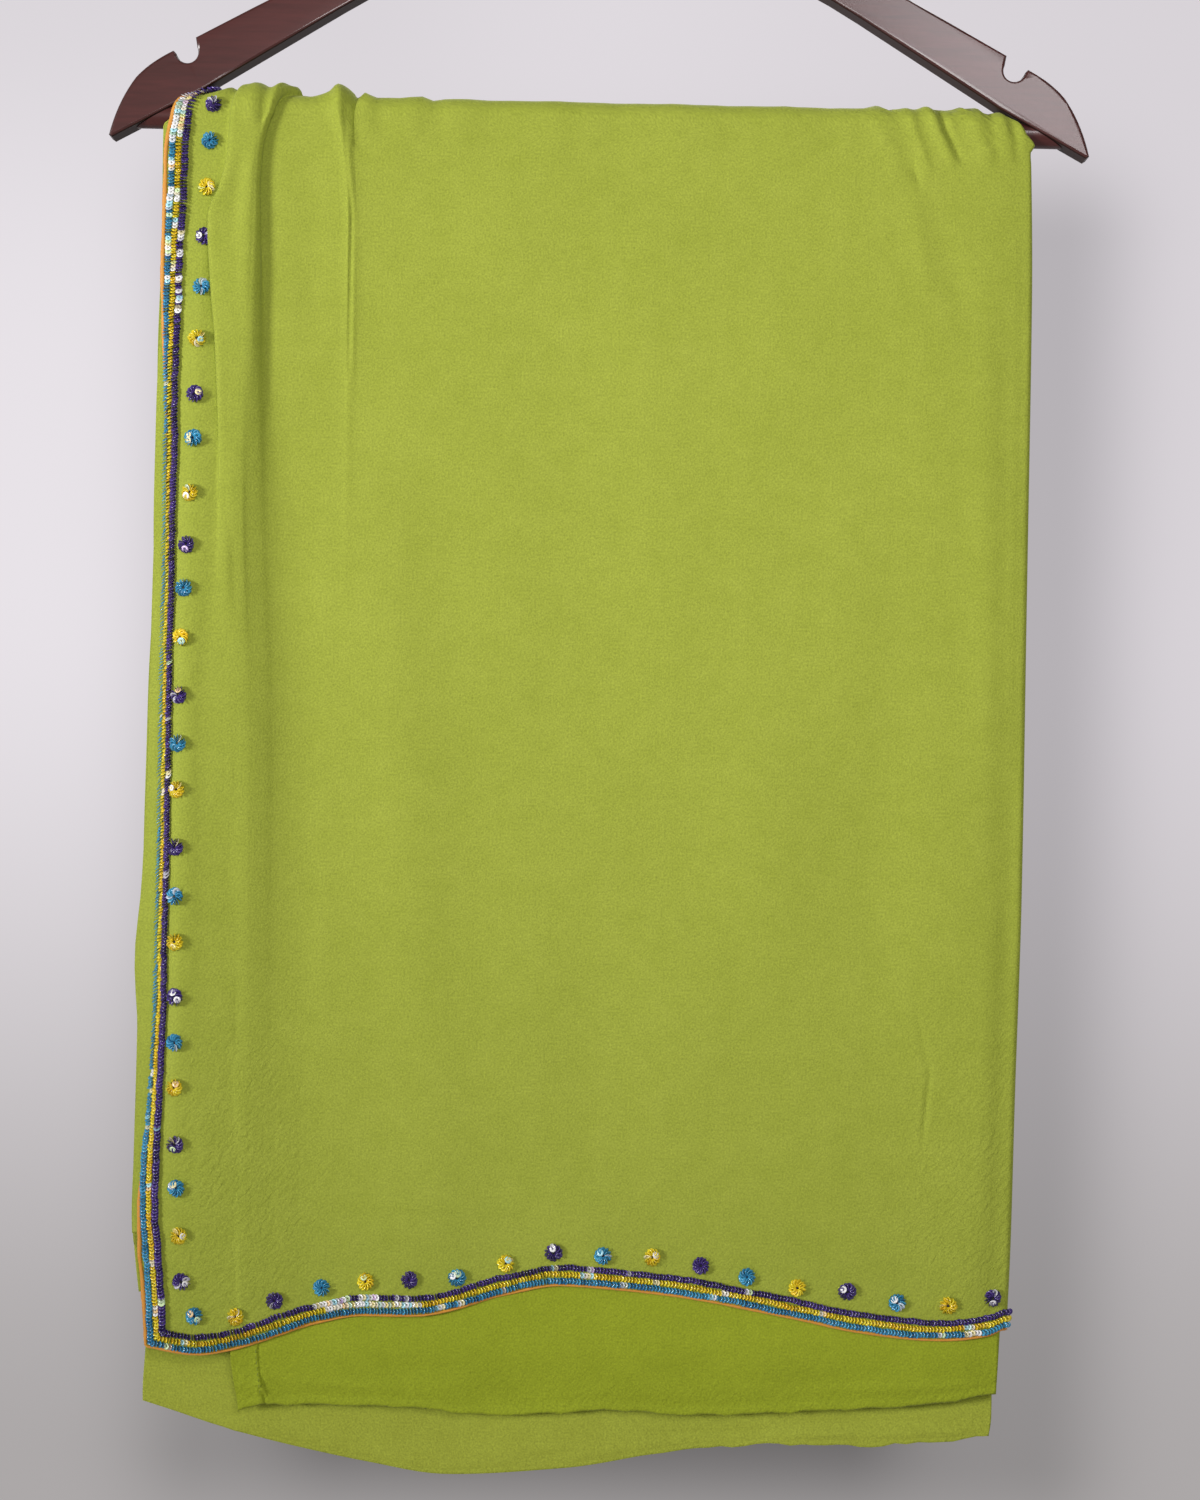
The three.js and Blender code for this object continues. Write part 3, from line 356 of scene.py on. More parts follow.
def section_knots(drop, margin, pleat):
    """x and rise of the outer end's section at its knots, a column for each drop."""
    m = {name: read(margin, name, drop) for name in margin}
    p = {name: read(pleat, name, drop) for name in pleat}
    turn_x = p["left"] + p["under"] - 4.0 * p["left_soft"]
    crested = np.minimum(m["crest"] / 2.0, 1)
    crest_x = mix(mix(m["rosette"], turn_x, 0.62), m["rosette"] + 3.8, crested)
    halfway_rise = mix(m["rosette_rise"], p["under_rise"], 0.62)
    crest_rise = mix(halfway_rise, m["rosette_rise"] + m["crest"], crested)
    lip = np.minimum(p["band"] * mix(0.93, 0.8, p["left_soft"]), LIP)
    right, soft, wide = p["right"], p["right_soft"], p["ridge_width"]
    domed = np.clip((wide - 3.4) / 5.2, 0, 1)
    zero = np.zeros_like(drop)
    knots = [
        (m["edge"], m["edge_rise"]),
        (m["blue"], m["blue_rise"]),
        (m["purple"], m["purple_rise"]),
        (m["rosette"], m["rosette_rise"]),
        (crest_x, crest_rise),
        (turn_x, p["under_rise"]),
        (mix(turn_x, p["left"], 0.72), mix(p["under_rise"], p["band"], 0.42)),
        (p["left"] + 1.9 * p["left_soft"], mix(p["under_rise"], p["band"], 0.78)),
        (p["left"] + 1.7 + 3.0 * p["left_soft"], p["band"]),
        (mix(p["left"], right, 0.52), mix(p["band"] * 1.03, lip, 0.4)),
        (right - 1.9 - 3.4 * soft, lip),
        (right, lip * mix(0.6, 0.68, soft)),
        (right - p["over"] * 0.45 + 3.6 * soft, lip * mix(0.28, 0.42, soft)),
        (right - p["over"] + 9.5 * soft, 0.1 + 0.15 * lip * soft),
        (right + 4.0 + 13.0 * soft, zero),
        (p["crease"] - 3.0 - wide, zero),
        (p["crease"] - 0.55 * wide, p["ridge"] * 0.42),
        (p["crease"] - 0.15 * wide, p["ridge"]),
        (p["crease"] + 0.12 * wide, p["ridge"] * mix(0.86, 0.98, domed)),
        (p["crease"] + 0.45 * wide, p["ridge"] * mix(0.34, 0.74, domed)),
        (p["crease"] + wide, p["ridge"] * 0.1),
        (p["crease"] + 4.0 + wide, zero),
        (read(RIGHT_FOLD, "x", drop) - fold_radius(drop), zero),
    ]
    return np.array([k[0] for k in knots]), np.array([k[1] for k in knots])


def outer_face(s, c):
    """Points of the outer end's face, arrays of s and c in, an array of points out."""
    drop = drop_of(s)
    front = s >= 0
    x, rise = np.empty_like(s), np.empty_like(s)
    flat_c = np.minimum(c, FOLD_START)
    for side, margin, pleat, lines, seed in (
            (front, FRONT_MARGIN, FRONT_PLEAT, FRONT_CREASES, 3),
            (~front, BACK_MARGIN, BACK_PLEAT, BACK_CREASES, 4)):
        if not side.any():
            continue
        knots_x, knots_rise = section_knots(drop[side], margin, pleat)
        x[side] = through(SECTION_LABELS, knots_x, flat_c[side])
        rise[side] = through(SECTION_LABELS, knots_rise, flat_c[side])
        on_fold = ease((c[side] - 47) / 3) * ease((61 - c[side]) / 7)
        inside = ease((c[side] - 33) / 3) * ease((FOLD_START + 6 - c[side]) / 12)
        loose = ease(drop[side] / 60)
        bumps = (1 - on_fold) * creases(lines, x[side], drop[side])
        bumps += loose * unevenness(x[side], drop[side], seed, 70, 0.45)
        rise[side] += inside * np.maximum(bumps, mix(-1.0, -1.4, loose))
    top = (outer_top(drop) + rise) * pressed(FOLD_START - c)
    radius = fold_radius(drop)
    angle = math.pi * np.clip((c - FOLD_START) / (FOLD_END - FOLD_START), 0, 1)
    lift = np.where(c > FOLD_START, radius + (top - radius) * np.cos(angle), top)
    return hang(x + radius * np.sin(angle), s, lift)


def outer_place(s, c, out=0.0):
    """Points moved out of the outer end's face, with the face's normals."""
    reach = 0.3
    down = outer_face(s + reach, c) - outer_face(s - reach, c)
    across = outer_face(s, np.minimum(c + reach, FOLD_END)) - outer_face(s, np.maximum(c - reach, 0))
    normal = np.cross(down, across)
    normal /= np.linalg.norm(normal, axis=1, keepdims=True)
    return outer_face(s, c) + normal * np.reshape(out, (-1, 1)), normal


HEM_SECTION_DROP = 560.0
OUTER_LIFT = 4.4  # mean height of the outer end over the cloth line, for the length that is left


def outer_hem(c, side):
    """s of the outer end's lowest line on the front (side 1) or the back (side -1)."""
    margin, pleat = (FRONT_MARGIN, FRONT_PLEAT) if side > 0 else (BACK_MARGIN, BACK_PLEAT)
    knots_x, _ = section_knots(np.full_like(c, HEM_SECTION_DROP), margin, pleat)
    x = through(SECTION_LABELS, knots_x, np.minimum(c, FOLD_START))
    front = read(OUTER_HEM, "drop", x, key="x")
    return front + BEND if side > 0 else -(rest_of_width(front, OUTER_LIFT) + BEND)


# --- meshes -------------------------------------------------------------------------------------

def only(obj):
    """Makes one object the active and only selected one."""
    bpy.ops.object.select_all(action="DESELECT")
    bpy.context.view_layer.objects.active = obj
    obj.select_set(True)


def mesh_object(name, points, quads, smooth=True):
    """An object of quads, points in millimetres."""
    points, quads = np.asarray(points, float), np.asarray(quads, np.int32)
    mesh = bpy.data.meshes.new(name)
    mesh.vertices.add(len(points))
    mesh.vertices.foreach_set("co", (points * MM).astype(np.float32).ravel())
    mesh.loops.add(quads.size)
    mesh.loops.foreach_set("vertex_index", quads.ravel())
    mesh.polygons.add(len(quads))
    mesh.polygons.foreach_set("loop_start", np.arange(0, quads.size, 4, dtype=np.int32))
    mesh.update(calc_edges=True)
    mesh.validate()
    if smooth:
        mesh.shade_smooth()
    obj = bpy.data.objects.new(name, mesh)
    bpy.context.scene.collection.objects.link(obj)
    return obj


def grid_quads(rows, columns, closed=False):
    """Quads of a grid, row by row, whose last column meets the first where it is closed."""
    r = np.arange(rows - 1)[:, None]
    k = np.arange(columns if closed else columns - 1)[None, :]
    a, b = r * columns + k, r * columns + (k + 1) % columns
    return np.stack([a, a + columns, b + columns, b], -1).reshape(-1, 4)


def add_values(obj, name, values):
    """A number for each point of a mesh, which its material reads."""
    attribute = obj.data.attributes.new(name, "FLOAT", "POINT")
    attribute.data.foreach_set("value", np.asarray(values, np.float32).ravel())


def laid_out(points, s):
    """Where each point of a grid lies on the flat cloth: its length across, from the right, and s."""
    steps = np.linalg.norm(np.diff(points, axis=1), axis=2)
    across = np.concatenate([np.zeros((len(points), 1)), np.cumsum(steps, axis=1)], 1)
    return np.stack([across - across[:, -1:], s], -1)


def cloth_sheet(name, points, lengths, puckers, thickness):
    """A thin sheet from a grid of points; its UV map lays it out flat, and both are in metres."""
    rows, columns = points.shape[:2]
    quads = grid_quads(rows, columns)
    obj = mesh_object(name, points.reshape(-1, 3), quads)
    flat = obj.data.uv_layers.new(name="cloth")
    uv = lengths.reshape(-1, 2)[quads.ravel()] * MM
    flat.data.foreach_set("uv", uv.astype(np.float32).ravel())
    add_values(obj, "pucker", puckers)
    wall = obj.modifiers.new("thickness", "SOLIDIFY")
    wall.thickness = thickness
    wall.offset = -1
    only(obj)
    bpy.ops.object.modifier_apply(modifier=wall.name)
    return obj


def fall_rows(front_end, back_end, fine=1.6, coarse=5.0, coarse_back=7.5, extra=()):
    """Rows of s from the back hem to the front hem, one line for each column's pair of hems.

    `extra` holds drops on the front where more rows are wanted, as (from, to, step)."""
    bend = np.linspace(0, BEND, 10)[1:]
    top = np.concatenate([
        np.arange(fine, 24, fine), np.arange(24, STACK_LOOSE_BELOW, coarse * 0.7)])
    near = np.concatenate([bend, BEND + top, [BEND + STACK_LOOSE_BELOW]])
    start = BEND + STACK_LOOSE_BELOW

    def shares(longest, step, added):
        at = np.concatenate([
            np.arange(step, longest - 14, step), np.arange(longest - 14, longest, fine)])
        for low, high, small in added:
            low, high = low - STACK_LOOSE_BELOW, high - STACK_LOOSE_BELOW
            at = np.concatenate([at[(at < low) | (at > high)], np.arange(low, high, small)])
        return np.append(np.sort(at), longest) / longest

    down = shares(np.max(front_end) - start, coarse, extra)
    back_down = shares(np.max(-back_end) - start, coarse_back, ())
    front = start + down[:, None] * (front_end[None, :] - start)
    back = -start + back_down[:, None] * (back_end[None, :] + start)
    near = np.repeat(near[:, None], len(front_end), 1)
    return np.concatenate([back[::-1], -near[::-1], np.zeros((1, near.shape[1])), near, front])


def stamp(template, faces, origin, axes, scale):
    """Copies of a small shape at many places, each with its own axes and scale."""
    axes = axes.copy()
    axes[:, 1] *= np.sign(np.linalg.det(axes))[:, None]  # right-handed, so that faces point outwards
    points = np.einsum("vk,nkj->nvj", template, axes) * scale[:, None, None] + origin[:, None, :]
    count, size = len(origin), len(template)
    quads = faces[None] + (np.arange(count) * size)[:, None, None]
    return points.reshape(-1, 3), quads.reshape(-1, 4)


def swept_tube(name, centres, side, up, half_width, half_height, sides=10):
    """A closed cord along a line, rounded in section, with its ends drawn in to a point."""
    turn = np.arange(sides) * 2 * math.pi / sides
    ring = (np.cos(turn)[None, :, None] * side[:, None, :] * half_width[:, None, None]
            + np.sin(turn)[None, :, None] * up[:, None, :] * half_height[:, None, None])
    points = (centres[:, None, :] + ring).reshape(-1, 3)
    quads = grid_quads(len(centres), sides, closed=True)
    half = sides // 2
    caps = []
    for base in (0, (len(centres) - 1) * sides):
        for k in range(half - 1):
            cap = [base + k, base + k + 1, base + sides - k - 2, base + sides - k - 1]
            caps.append(cap if base == 0 else cap[::-1])
    return mesh_object(name, points, np.concatenate([quads, caps])[:, ::-1])


# --- the border's path --------------------------------------------------------------------------

PATH_END = 385.6
BACK_PATH_END = 383.0


def border_path(side_c, hem_out, step):
    """s and c at even steps along a line of the border: back hem, cut edge, front hem."""
    front_c = np.arange(side_c, PATH_END, 1.0)
    back_c = front_c[front_c < BACK_PATH_END]
    front_hem = outer_hem(front_c, 1) - hem_out
    back_hem = outer_hem(back_c, -1) + hem_out
    down = np.arange(back_hem[0] + 1.0, front_hem[0] - 0.5, 1.0)
    s = np.concatenate([back_hem[::-1], down, front_hem])
    c = np.concatenate([back_c[::-1], np.full_like(down, side_c), front_c])
    points = outer_face(s, c)
    length = np.concatenate([[0], np.cumsum(np.linalg.norm(np.diff(points, axis=0), axis=1))])
    at = np.arange(0, length[-1], step)
    return np.interp(at, length, s), np.interp(at, length, c), at


def frames_along(s, c, out):
    """Places along a line on the outer end, with the way ahead, the way across and the normal."""
    origin, normal = outer_place(s, c, out)
    ahead = np.gradient(outer_face(s, c), axis=0)
    ahead -= normal * np.sum(ahead * normal, axis=1, keepdims=True)
    ahead /= np.linalg.norm(ahead, axis=1, keepdims=True)
    return origin, ahead, np.cross(normal, ahead), normal


SEQUIN_SEGMENTS = 10
SEQUIN_HOLE = 0.2  # share of the radius
SEQUIN_CUP = 0.14
SEQUIN_WALL = 0.07


def sequin_template():
    """One cupped sequin of unit radius with its hole: a closed thin ring, axis along z."""
    turn = np.arange(SEQUIN_SEGMENTS) * 2 * math.pi / SEQUIN_SEGMENTS
    rings = [(SEQUIN_HOLE, 0.0), (1.0, SEQUIN_CUP), (1.0, SEQUIN_CUP - SEQUIN_WALL),
             (SEQUIN_HOLE, -SEQUIN_WALL), (SEQUIN_HOLE, 0.0)]
    points = [(r * math.cos(a), r * math.sin(a), z) for r, z in rings[:-1] for a in turn]
    quads = grid_quads(len(rings), SEQUIN_SEGMENTS, closed=True)
    return np.array(points), quads % len(points)


def turned(first, second, angle):
    """A pair of axes turned towards each other by an angle for each place."""
    cos, sin = np.cos(angle)[:, None], np.sin(angle)[:, None]
    return first * cos + second * sin, second * cos - first * sin


# --- materials ----------------------------------------------------------------------------------

def linear(hex_colour):
    """A hexadecimal sRGB colour as linear RGBA."""
    channels = [int(hex_colour[k:k + 2], 16) / 255 for k in (0, 2, 4)]
    return tuple((v / 12.92 if v <= 0.04045 else ((v + 0.055) / 1.055) ** 2.4) for v in channels) + (1,)


def feed(new, values):
    """Sets a node's inputs to values, or joins them to other nodes' outputs."""
    for key, value in values.items():
        if isinstance(value, bpy.types.NodeSocket):
            new.id_data.links.new(value, new.inputs[key])
        else:
            new.inputs[key].default_value = value


def node(tree, kind, inputs=None, **choices):
    """A node with its choices made and its inputs fed."""
    new = tree.nodes.new(kind)
    for key, value in choices.items():
        setattr(new, key, value)
    feed(new, inputs or {})
    return new


def mixed(tree, factor, first, second, blend="MIX"):
    """The colour between two colours."""
    return node(tree, "ShaderNodeMix", {0: factor, 6: first, 7: second},
                data_type="RGBA", blend_type=blend).outputs[2]


def calc(tree, operation, first, second=0.0):
    return node(tree, "ShaderNodeMath", {0: first, 1: second}, operation=operation).outputs[0]


def summed(tree, *terms, plus=0.0):
    """The sum of values, each times its share, and a constant."""
    total = None
    for value, share in terms:
        part = calc(tree, "MULTIPLY", value, share)
        total = calc(tree, "ADD", total, part) if total else part
    return calc(tree, "ADD", total, plus) if plus else total


def clamped(tree, value):
    return node(tree, "ShaderNodeClamp", {0: value}).outputs[0]


def noise(tree, place, scale, detail=2.0, roughness=0.5, distortion=0.0):
    return node(tree, "ShaderNodeTexNoise", {
        "Vector": place, "Scale": scale, "Detail": detail, "Roughness": roughness,
        "Distortion": distortion}).outputs[0]


def stretched(tree, place, scale, turn=0.0, kind="POINT"):
    """Places stretched, and turned about the surface, before a pattern reads them."""
    return node(tree, "ShaderNodeMapping", {
        "Vector": place, "Rotation": (0.0, 0.0, turn), "Scale": scale}, vector_type=kind).outputs[0]


def own_value(tree, name):
    """What add_values gave a mesh under this name."""
    return node(tree, "ShaderNodeAttribute", attribute_name=name).outputs["Fac"]


def own_place(tree):
    return node(tree, "ShaderNodeTexCoord").outputs["Object"]


def group(name, inputs, outputs):
    """A new node group with named sockets: its tree, what it is given, and its output node."""
    tree = bpy.data.node_groups.new(name, "ShaderNodeTree")
    kinds = {"colour": "NodeSocketColor", "value": "NodeSocketFloat", "vector": "NodeSocketVector"}
    for direction, sockets in (("INPUT", inputs), ("OUTPUT", outputs)):
        for socket, kind in sockets.items():
            tree.interface.new_socket(socket, in_out=direction, socket_type=kinds[kind])
    return tree, tree.nodes.new("NodeGroupInput").outputs, tree.nodes.new("NodeGroupOutput")


def crepe_group():
    """Crepe: a pebbled weave with slubs, faint mottling, and crinkles where it puckers."""
    tree, given, result = group("Crepe", {
        "Place": "vector", "Colour": "colour", "Shade": "colour", "Grain": "value"},
        {"Colour": "colour", "Height": "value", "Roughness": "value"})
    place = given["Place"]
    pebble = noise(tree, place, 1100.0, roughness=0.6)
    slub = noise(tree, stretched(tree, place, (0.4, 1.0, 1.0)), 520.0, detail=3.0, roughness=0.6)
    mottle = noise(tree, place, 90.0, detail=5.0, roughness=0.68)
    slow = noise(tree, place, 14.0)
    tilted = stretched(tree, place, (1.9, 1.0, 1.0), turn=-0.8, kind="TEXTURE")
    crinkle = noise(tree, tilted, 430.0, distortion=0.5)
    clear = clamped(tree, summed(tree, (mottle, 1.3), (slow, 0.7), plus=-0.5))
    toned = mixed(tree, clear, given["Shade"], given["Colour"])
    fleck = summed(tree, (pebble, 1.1), (slub, 0.2), plus=0.35)
    flecked = mixed(tree, 1.0, toned, fleck, "MULTIPLY")
    deep = summed(tree, (own_value(tree, "pucker"), 0.8), plus=0.05)
    weave = summed(tree, (pebble, 0.24), (slub, 0.06), (mottle, 0.4))
    feed(result, {
        "Colour": mixed(tree, given["Grain"], toned, flecked),
        "Height": calc(tree, "ADD", calc(tree, "MULTIPLY", crinkle, deep), weave),
        "Roughness": summed(tree, (pebble, 0.14), plus=0.66)})
    return tree


# Colours painted on sequins as glints, white and pale pearly tints: painted highlights.
PEARL_GLINT_HUES = [(0.5, "fff3b8"), (0.66, "bdf3ff"), (0.78, "ffd9a0"), (0.88, "e6ffc9"), (0.95, "f3d8ff")]
# Painted shade on the part of each sequin that lies under the next one:
UNDER_SHADE_TONE = (0.42, 0.38, 0.42, 1)  # what the part under the next sequin keeps of its colour


def sequin_group():
    """Sequin film: each one a little lighter or darker, with painted highlights, white or pale-tinted
    glints, on some of them.
    """
    tree, given, result = group("Sequin film", {"Colour": "colour", "Deep": "colour"},
                                {"Colour": "colour", "Roughness": "value"})
    tint, pearl, hue, tucked = (own_value(tree, name) for name in ("tint", "pearl", "hue", "tucked"))
    ramp = node(tree, "ShaderNodeValToRGB", {0: hue})
    ramp.color_ramp.interpolation = "CONSTANT"
    stops = ramp.color_ramp.elements
    stops[0].color = linear("ffffff")
    stops[1].position = PEARL_GLINT_HUES[0][0]
    stops[1].color = linear(PEARL_GLINT_HUES[0][1])
    for position, colour in PEARL_GLINT_HUES[1:]:
        stops.new(position).color = linear(colour)
    film = mixed(tree, tint, given["Deep"], given["Colour"])
    # painted shade on the part of each sequin that lies under the next one
    film = mixed(tree, tucked, film, mixed(tree, 1.0, film, UNDER_SHADE_TONE, "MULTIPLY"))
    # painted glints: white or pale-tinted colour in place of the film's own
    feed(result, {"Colour": mixed(tree, pearl, film, ramp.outputs[0]),
                  "Roughness": summed(tree, (tint, 0.12), plus=0.2)})
    return tree


def wood_group():
    """Stained wood under varnish: long grain, pores and a slow change of tone."""
    tree, given, result = group("Stained wood", {
        "Place": "vector", "Light": "colour", "Dark": "colour"}, {"Colour": "colour", "Height": "value"})
    along = stretched(tree, given["Place"], (0.09, 1.0, 1.0))
    grain = noise(tree, along, 420.0, detail=5.0, roughness=0.62, distortion=0.5)
    tone = noise(tree, along, 60.0)
    share = clamped(tree, summed(tree, (grain, 1.0), (tone, 0.8), plus=-0.4))
    feed(result, {"Colour": mixed(tree, share, given["Dark"], given["Light"]), "Height": grain})
    return tree


def shared(name, make):
    """A node group that is built once."""
    return bpy.data.node_groups.get(name) or make()


def material(name):
    """An empty material with its Principled shader."""
    made = bpy.data.materials.new(name)
    made.use_nodes = True
    return made, made.node_tree, made.node_tree.nodes["Principled BSDF"]


def bumped(tree, height, distance, strength):
    """The normal over a surface with a relief."""
    return node(tree, "ShaderNodeBump", {
        "Height": height, "Distance": distance, "Strength": strength}).outputs[0]


def cloth_material(name, colour, shade):
    made, tree, shader = material(name)
    crepe = node(tree, "ShaderNodeGroup", node_tree=shared("Crepe", crepe_group))
    place = node(tree, "ShaderNodeUVMap", uv_map="cloth").outputs[0]
    feed(crepe, {"Place": place, "Colour": colour, "Shade": shade, "Grain": 0.8})
    feed(shader, {
        "Base Color": crepe.outputs["Colour"], "Roughness": crepe.outputs["Roughness"],
        "Normal": bumped(tree, crepe.outputs["Height"], 0.0011, 0.8),
        "Specular IOR Level": 0.18, "Sheen Weight": 0.22, "Sheen Roughness": 0.5,
        "Sheen Tint": linear("dfe6a8")})
    return made


def sequin_material(name, colour, deep):
    made, tree, shader = material(name)
    film = node(tree, "ShaderNodeGroup", node_tree=shared("Sequin film", sequin_group))
    feed(film, {"Colour": colour, "Deep": deep})
    feed(shader, {
        "Base Color": film.outputs["Colour"], "Roughness": film.outputs["Roughness"],
        "Coat Weight": 0.7, "Coat Roughness": 0.12})
    return made


def cord_material(name, colour, shade):
    """Twilled thread or piping cloth."""
    made, tree, shader = material(name)
    place = own_place(tree)
    twill = noise(tree, place, 900.0, roughness=0.6)
    share = calc(tree, "MULTIPLY", calc(tree, "ADD", twill, noise(tree, place, 90.0)), 0.55)
    feed(shader, {
        "Base Color": mixed(tree, share, shade, colour), "Normal": bumped(tree, twill, 0.0003, 0.6),
        "Roughness": 0.55, "Sheen Weight": 0.2})
    return made


VARNISH = 0.8
# Painted shade darkens the edges of a flat-sided piece with the colour below, and the varnish is thinned
# there; the exponent sets how sharply both set in.
EDGE_SHADE_FALLOFF = 6.0  # how sharply the varnish thins towards an edge
EDGE_SHADE = "34201c"


def wood_material(name, light, dark, shaded_edges):
    """Varnished wood; on a flat-sided piece the varnish is thinner at the edges and a painted shade
    darkens them.
    """
    made, tree, shader = material(name)
    wood = node(tree, "ShaderNodeGroup", node_tree=shared("Stained wood", wood_group))
    feed(wood, {"Place": own_place(tree), "Light": light, "Dark": dark})
    colour, varnish = wood.outputs["Colour"], VARNISH
    if shaded_edges:
        normal = node(tree, "ShaderNodeNewGeometry").outputs["Normal"]
        facing = node(tree, "ShaderNodeSeparateXYZ", {0: normal}).outputs["Y"]
        flatness = calc(tree, "POWER", calc(tree, "ABSOLUTE", facing), EDGE_SHADE_FALLOFF)
        # painted shade: edges facing away from the front and back are darkened
        colour = mixed(tree, flatness, linear(EDGE_SHADE), colour)
        varnish = calc(tree, "MULTIPLY", flatness, VARNISH)
    feed(shader, {
        "Base Color": colour, "Normal": bumped(tree, wood.outputs["Height"], 0.0001, 0.2),
        "Roughness": 0.45, "Specular IOR Level": 0.2, "Coat Weight": varnish, "Coat Roughness": 0.2})
    return made


def steel_material(name):
    """Drawn and polished wire."""
    made, tree, shader = material(name)
    drawn = noise(tree, own_place(tree), 900.0)
    feed(shader, {
        "Base Color": mixed(tree, drawn, linear("a9abae"), linear("d2d3d5")),
        "Roughness": summed(tree, (drawn, 0.15), plus=0.16), "Metallic": 1.0})
    return made


# --- sizes and colours that a user would change -------------------------------------------------

def colour_property(name, description, hex_colour):
    return bpy.props.FloatVectorProperty(
        name=name, description=description, subtype="COLOR", size=4, min=0, max=1,
        default=linear(hex_colour))


def power_property(name, default):
    return bpy.props.FloatProperty(
        name=name, description="Power of the light, W", default=default, min=0)


class ClothSettings(bpy.types.PropertyGroup):
    """The saree's cloth."""
    thickness: bpy.props.FloatProperty(
        name="Thickness", description="Thickness of one layer of crepe",
        default=0.35 * MM, min=0.1 * MM, precision=5, unit="LENGTH")
    outer: colour_property("Outer end", "Colour of the outer end", "a6b143")
    outer_shade: colour_property("Outer end, mottled", "Its darker mottling", "98a437")
    inner: colour_property("Inner end", "Colour of the inner end", "a0ae2a")
    inner_shade: colour_property("Inner end, mottled", "Its darker mottling", "93a122")
    low: colour_property("Long layer", "Colour of the layer next to the bar", "aeb942")
    low_shade: colour_property("Long layer, mottled", "Its darker mottling", "a2ab39")


class BorderSettings(bpy.types.PropertyGroup):
    """The sequinned border."""
    pitch: bpy.props.FloatProperty(
        name="Sequin pitch", description="Distance from one sequin to the next",
        default=1.5 * MM, min=0.8 * MM, precision=5, unit="LENGTH")
    piping: colour_property("Piping", "Colour of the piped edge", "eba436")
    blue: colour_property("Blue", "Colour of the blue sequins", "48aad4")
    yellow: colour_property("Yellow", "Colour of the yellow sequins", "ffec34")
    purple: colour_property("Purple", "Colour of the purple sequins", "533c92")


class HangerSettings(bpy.types.PropertyGroup):
    """The wooden hanger."""
    light: colour_property("Wood", "Lighter grain of the stained wood", "5c2c29")
    dark: colour_property("Wood, dark", "Darker grain of the stained wood", "3a1c19")


class StageSettings(bpy.types.PropertyGroup):
    """Camera, lights and backdrop."""
    distance: bpy.props.FloatProperty(
        name="Camera distance", description="From the camera to the cloth's face",
        default=1.25, min=0.5, unit="LENGTH")
    key_power: power_property("Key light", 440.0)
    front_power: power_property("Front light", 50.0)
    panel_power: power_property("Side panel", 12.0)
    back_power: power_property("Back light", 22.0)


def settings(name):
    return getattr(bpy.context.scene, name)


def shared_material(name, make, *values):
    """A material that is built once."""
    return bpy.data.materials.get(name) or make(name, *values)


def finish_piece(obj, slot, finish, *nodes):
    """Gives a piece its material and its body, and hides the solids that it stands for; `slot` is not
    used.
    """
    obj.data.materials.clear()
    obj.data.materials.append(finish)
    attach(obj, BODY)
    if nodes:
        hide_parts(*nodes)
    return obj


# --- operators ----------------------------------------------------------------------------------

class PieceOperator:
    """What the operators share."""
    bl_options = {"REGISTER", "UNDO"}


class SAREE_OT_outer_end(PieceOperator, bpy.types.Operator):
    """Hangs the trimmed outer end, with its pleat, creases and right-hand fold"""
    bl_idname = "saree.outer_end"
    bl_label = "Outer end"

    def execute(self, context):
        cloth = settings("saree_cloth")
        c = np.concatenate([  # closest together over the pleat and the creases
            np.arange(1.0, 22, 1.5), np.arange(22, 48, 1.25), np.arange(48, 60, 0.6),
            np.arange(60, 80, 3.4), np.arange(80, 97, 1.2), np.arange(97, 332, 5.0),
            np.arange(332, 352, 0.9), np.arange(352, FOLD_START - 6, 3.4),
            np.linspace(FOLD_START - 6, FOLD_END, 13)])
        inset = 0.8  # the cloth's own edge lies inside the piping
        front_hem, back_hem = outer_hem(c, 1), outer_hem(c, -1)
        s = fall_rows(front_hem - inset, back_hem + inset, coarse=5.6, coarse_back=8.0,
                      extra=((272, 283, 0.8), (503, 515, 0.9)))
        columns = np.repeat(c[None, :], len(s), 0)
        points = outer_face(s.ravel(), columns.ravel()).reshape(s.shape + (3,))
        hem_near = np.minimum(front_hem[None, :] - s, s - back_hem[None, :])
        low = ease((drop_of(s) - 340) / 150)
        pucker = np.max([
            0.8 * np.exp(-(hem_near / 24) ** 2),
            0.5 * np.exp(-((columns - 12) / 18) ** 2),
            0.9 * low * np.exp(-((columns - 38) / 40) ** 2),
            0.8 * low * ease((columns - 310) / 50)], axis=0)
        obj = cloth_sheet("outer_end_cloth", points, laid_out(points, s), pucker, cloth.thickness)
        finish_piece(obj, "cloth_outer", shared_material(
            "Crepe, outer end", cloth_material, cloth.outer, cloth.outer_shade), "outer_panel")
        return {"FINISHED"}


INNER_LEFT = table("drop x", [(0, -153.3), (300, -153.6), (560, -154.6), (588, -150.6)])
INNER_WIDTH = 345.2
INNER_FOOT_X = -151.0
INNER_LIFT = 3.1  # mean height of the inner end over the cloth line, for the length that is left
SIDE_HEM = 12.5  # width of the inner end's folded side hem
INNER_FREE = 545.0  # below this drop the inner end hangs free of the outer end
INNER_CREASES = table(CREASE, [
    (-60, 569, 60, 566, 1.8, 0.5), (40, 571, 192, 556, 1.4, 0.7), (44, 574, 193, 559, 1.0, -0.7),
    (-20, 556, 70, 561, 2.4, 0.5), (96, 574, 190, 569, 1.4, 0.6), (100, 552, 186, 548, 2.4, 0.5),
    (-128, 574, -70, 578, 1.6, 0.5)])


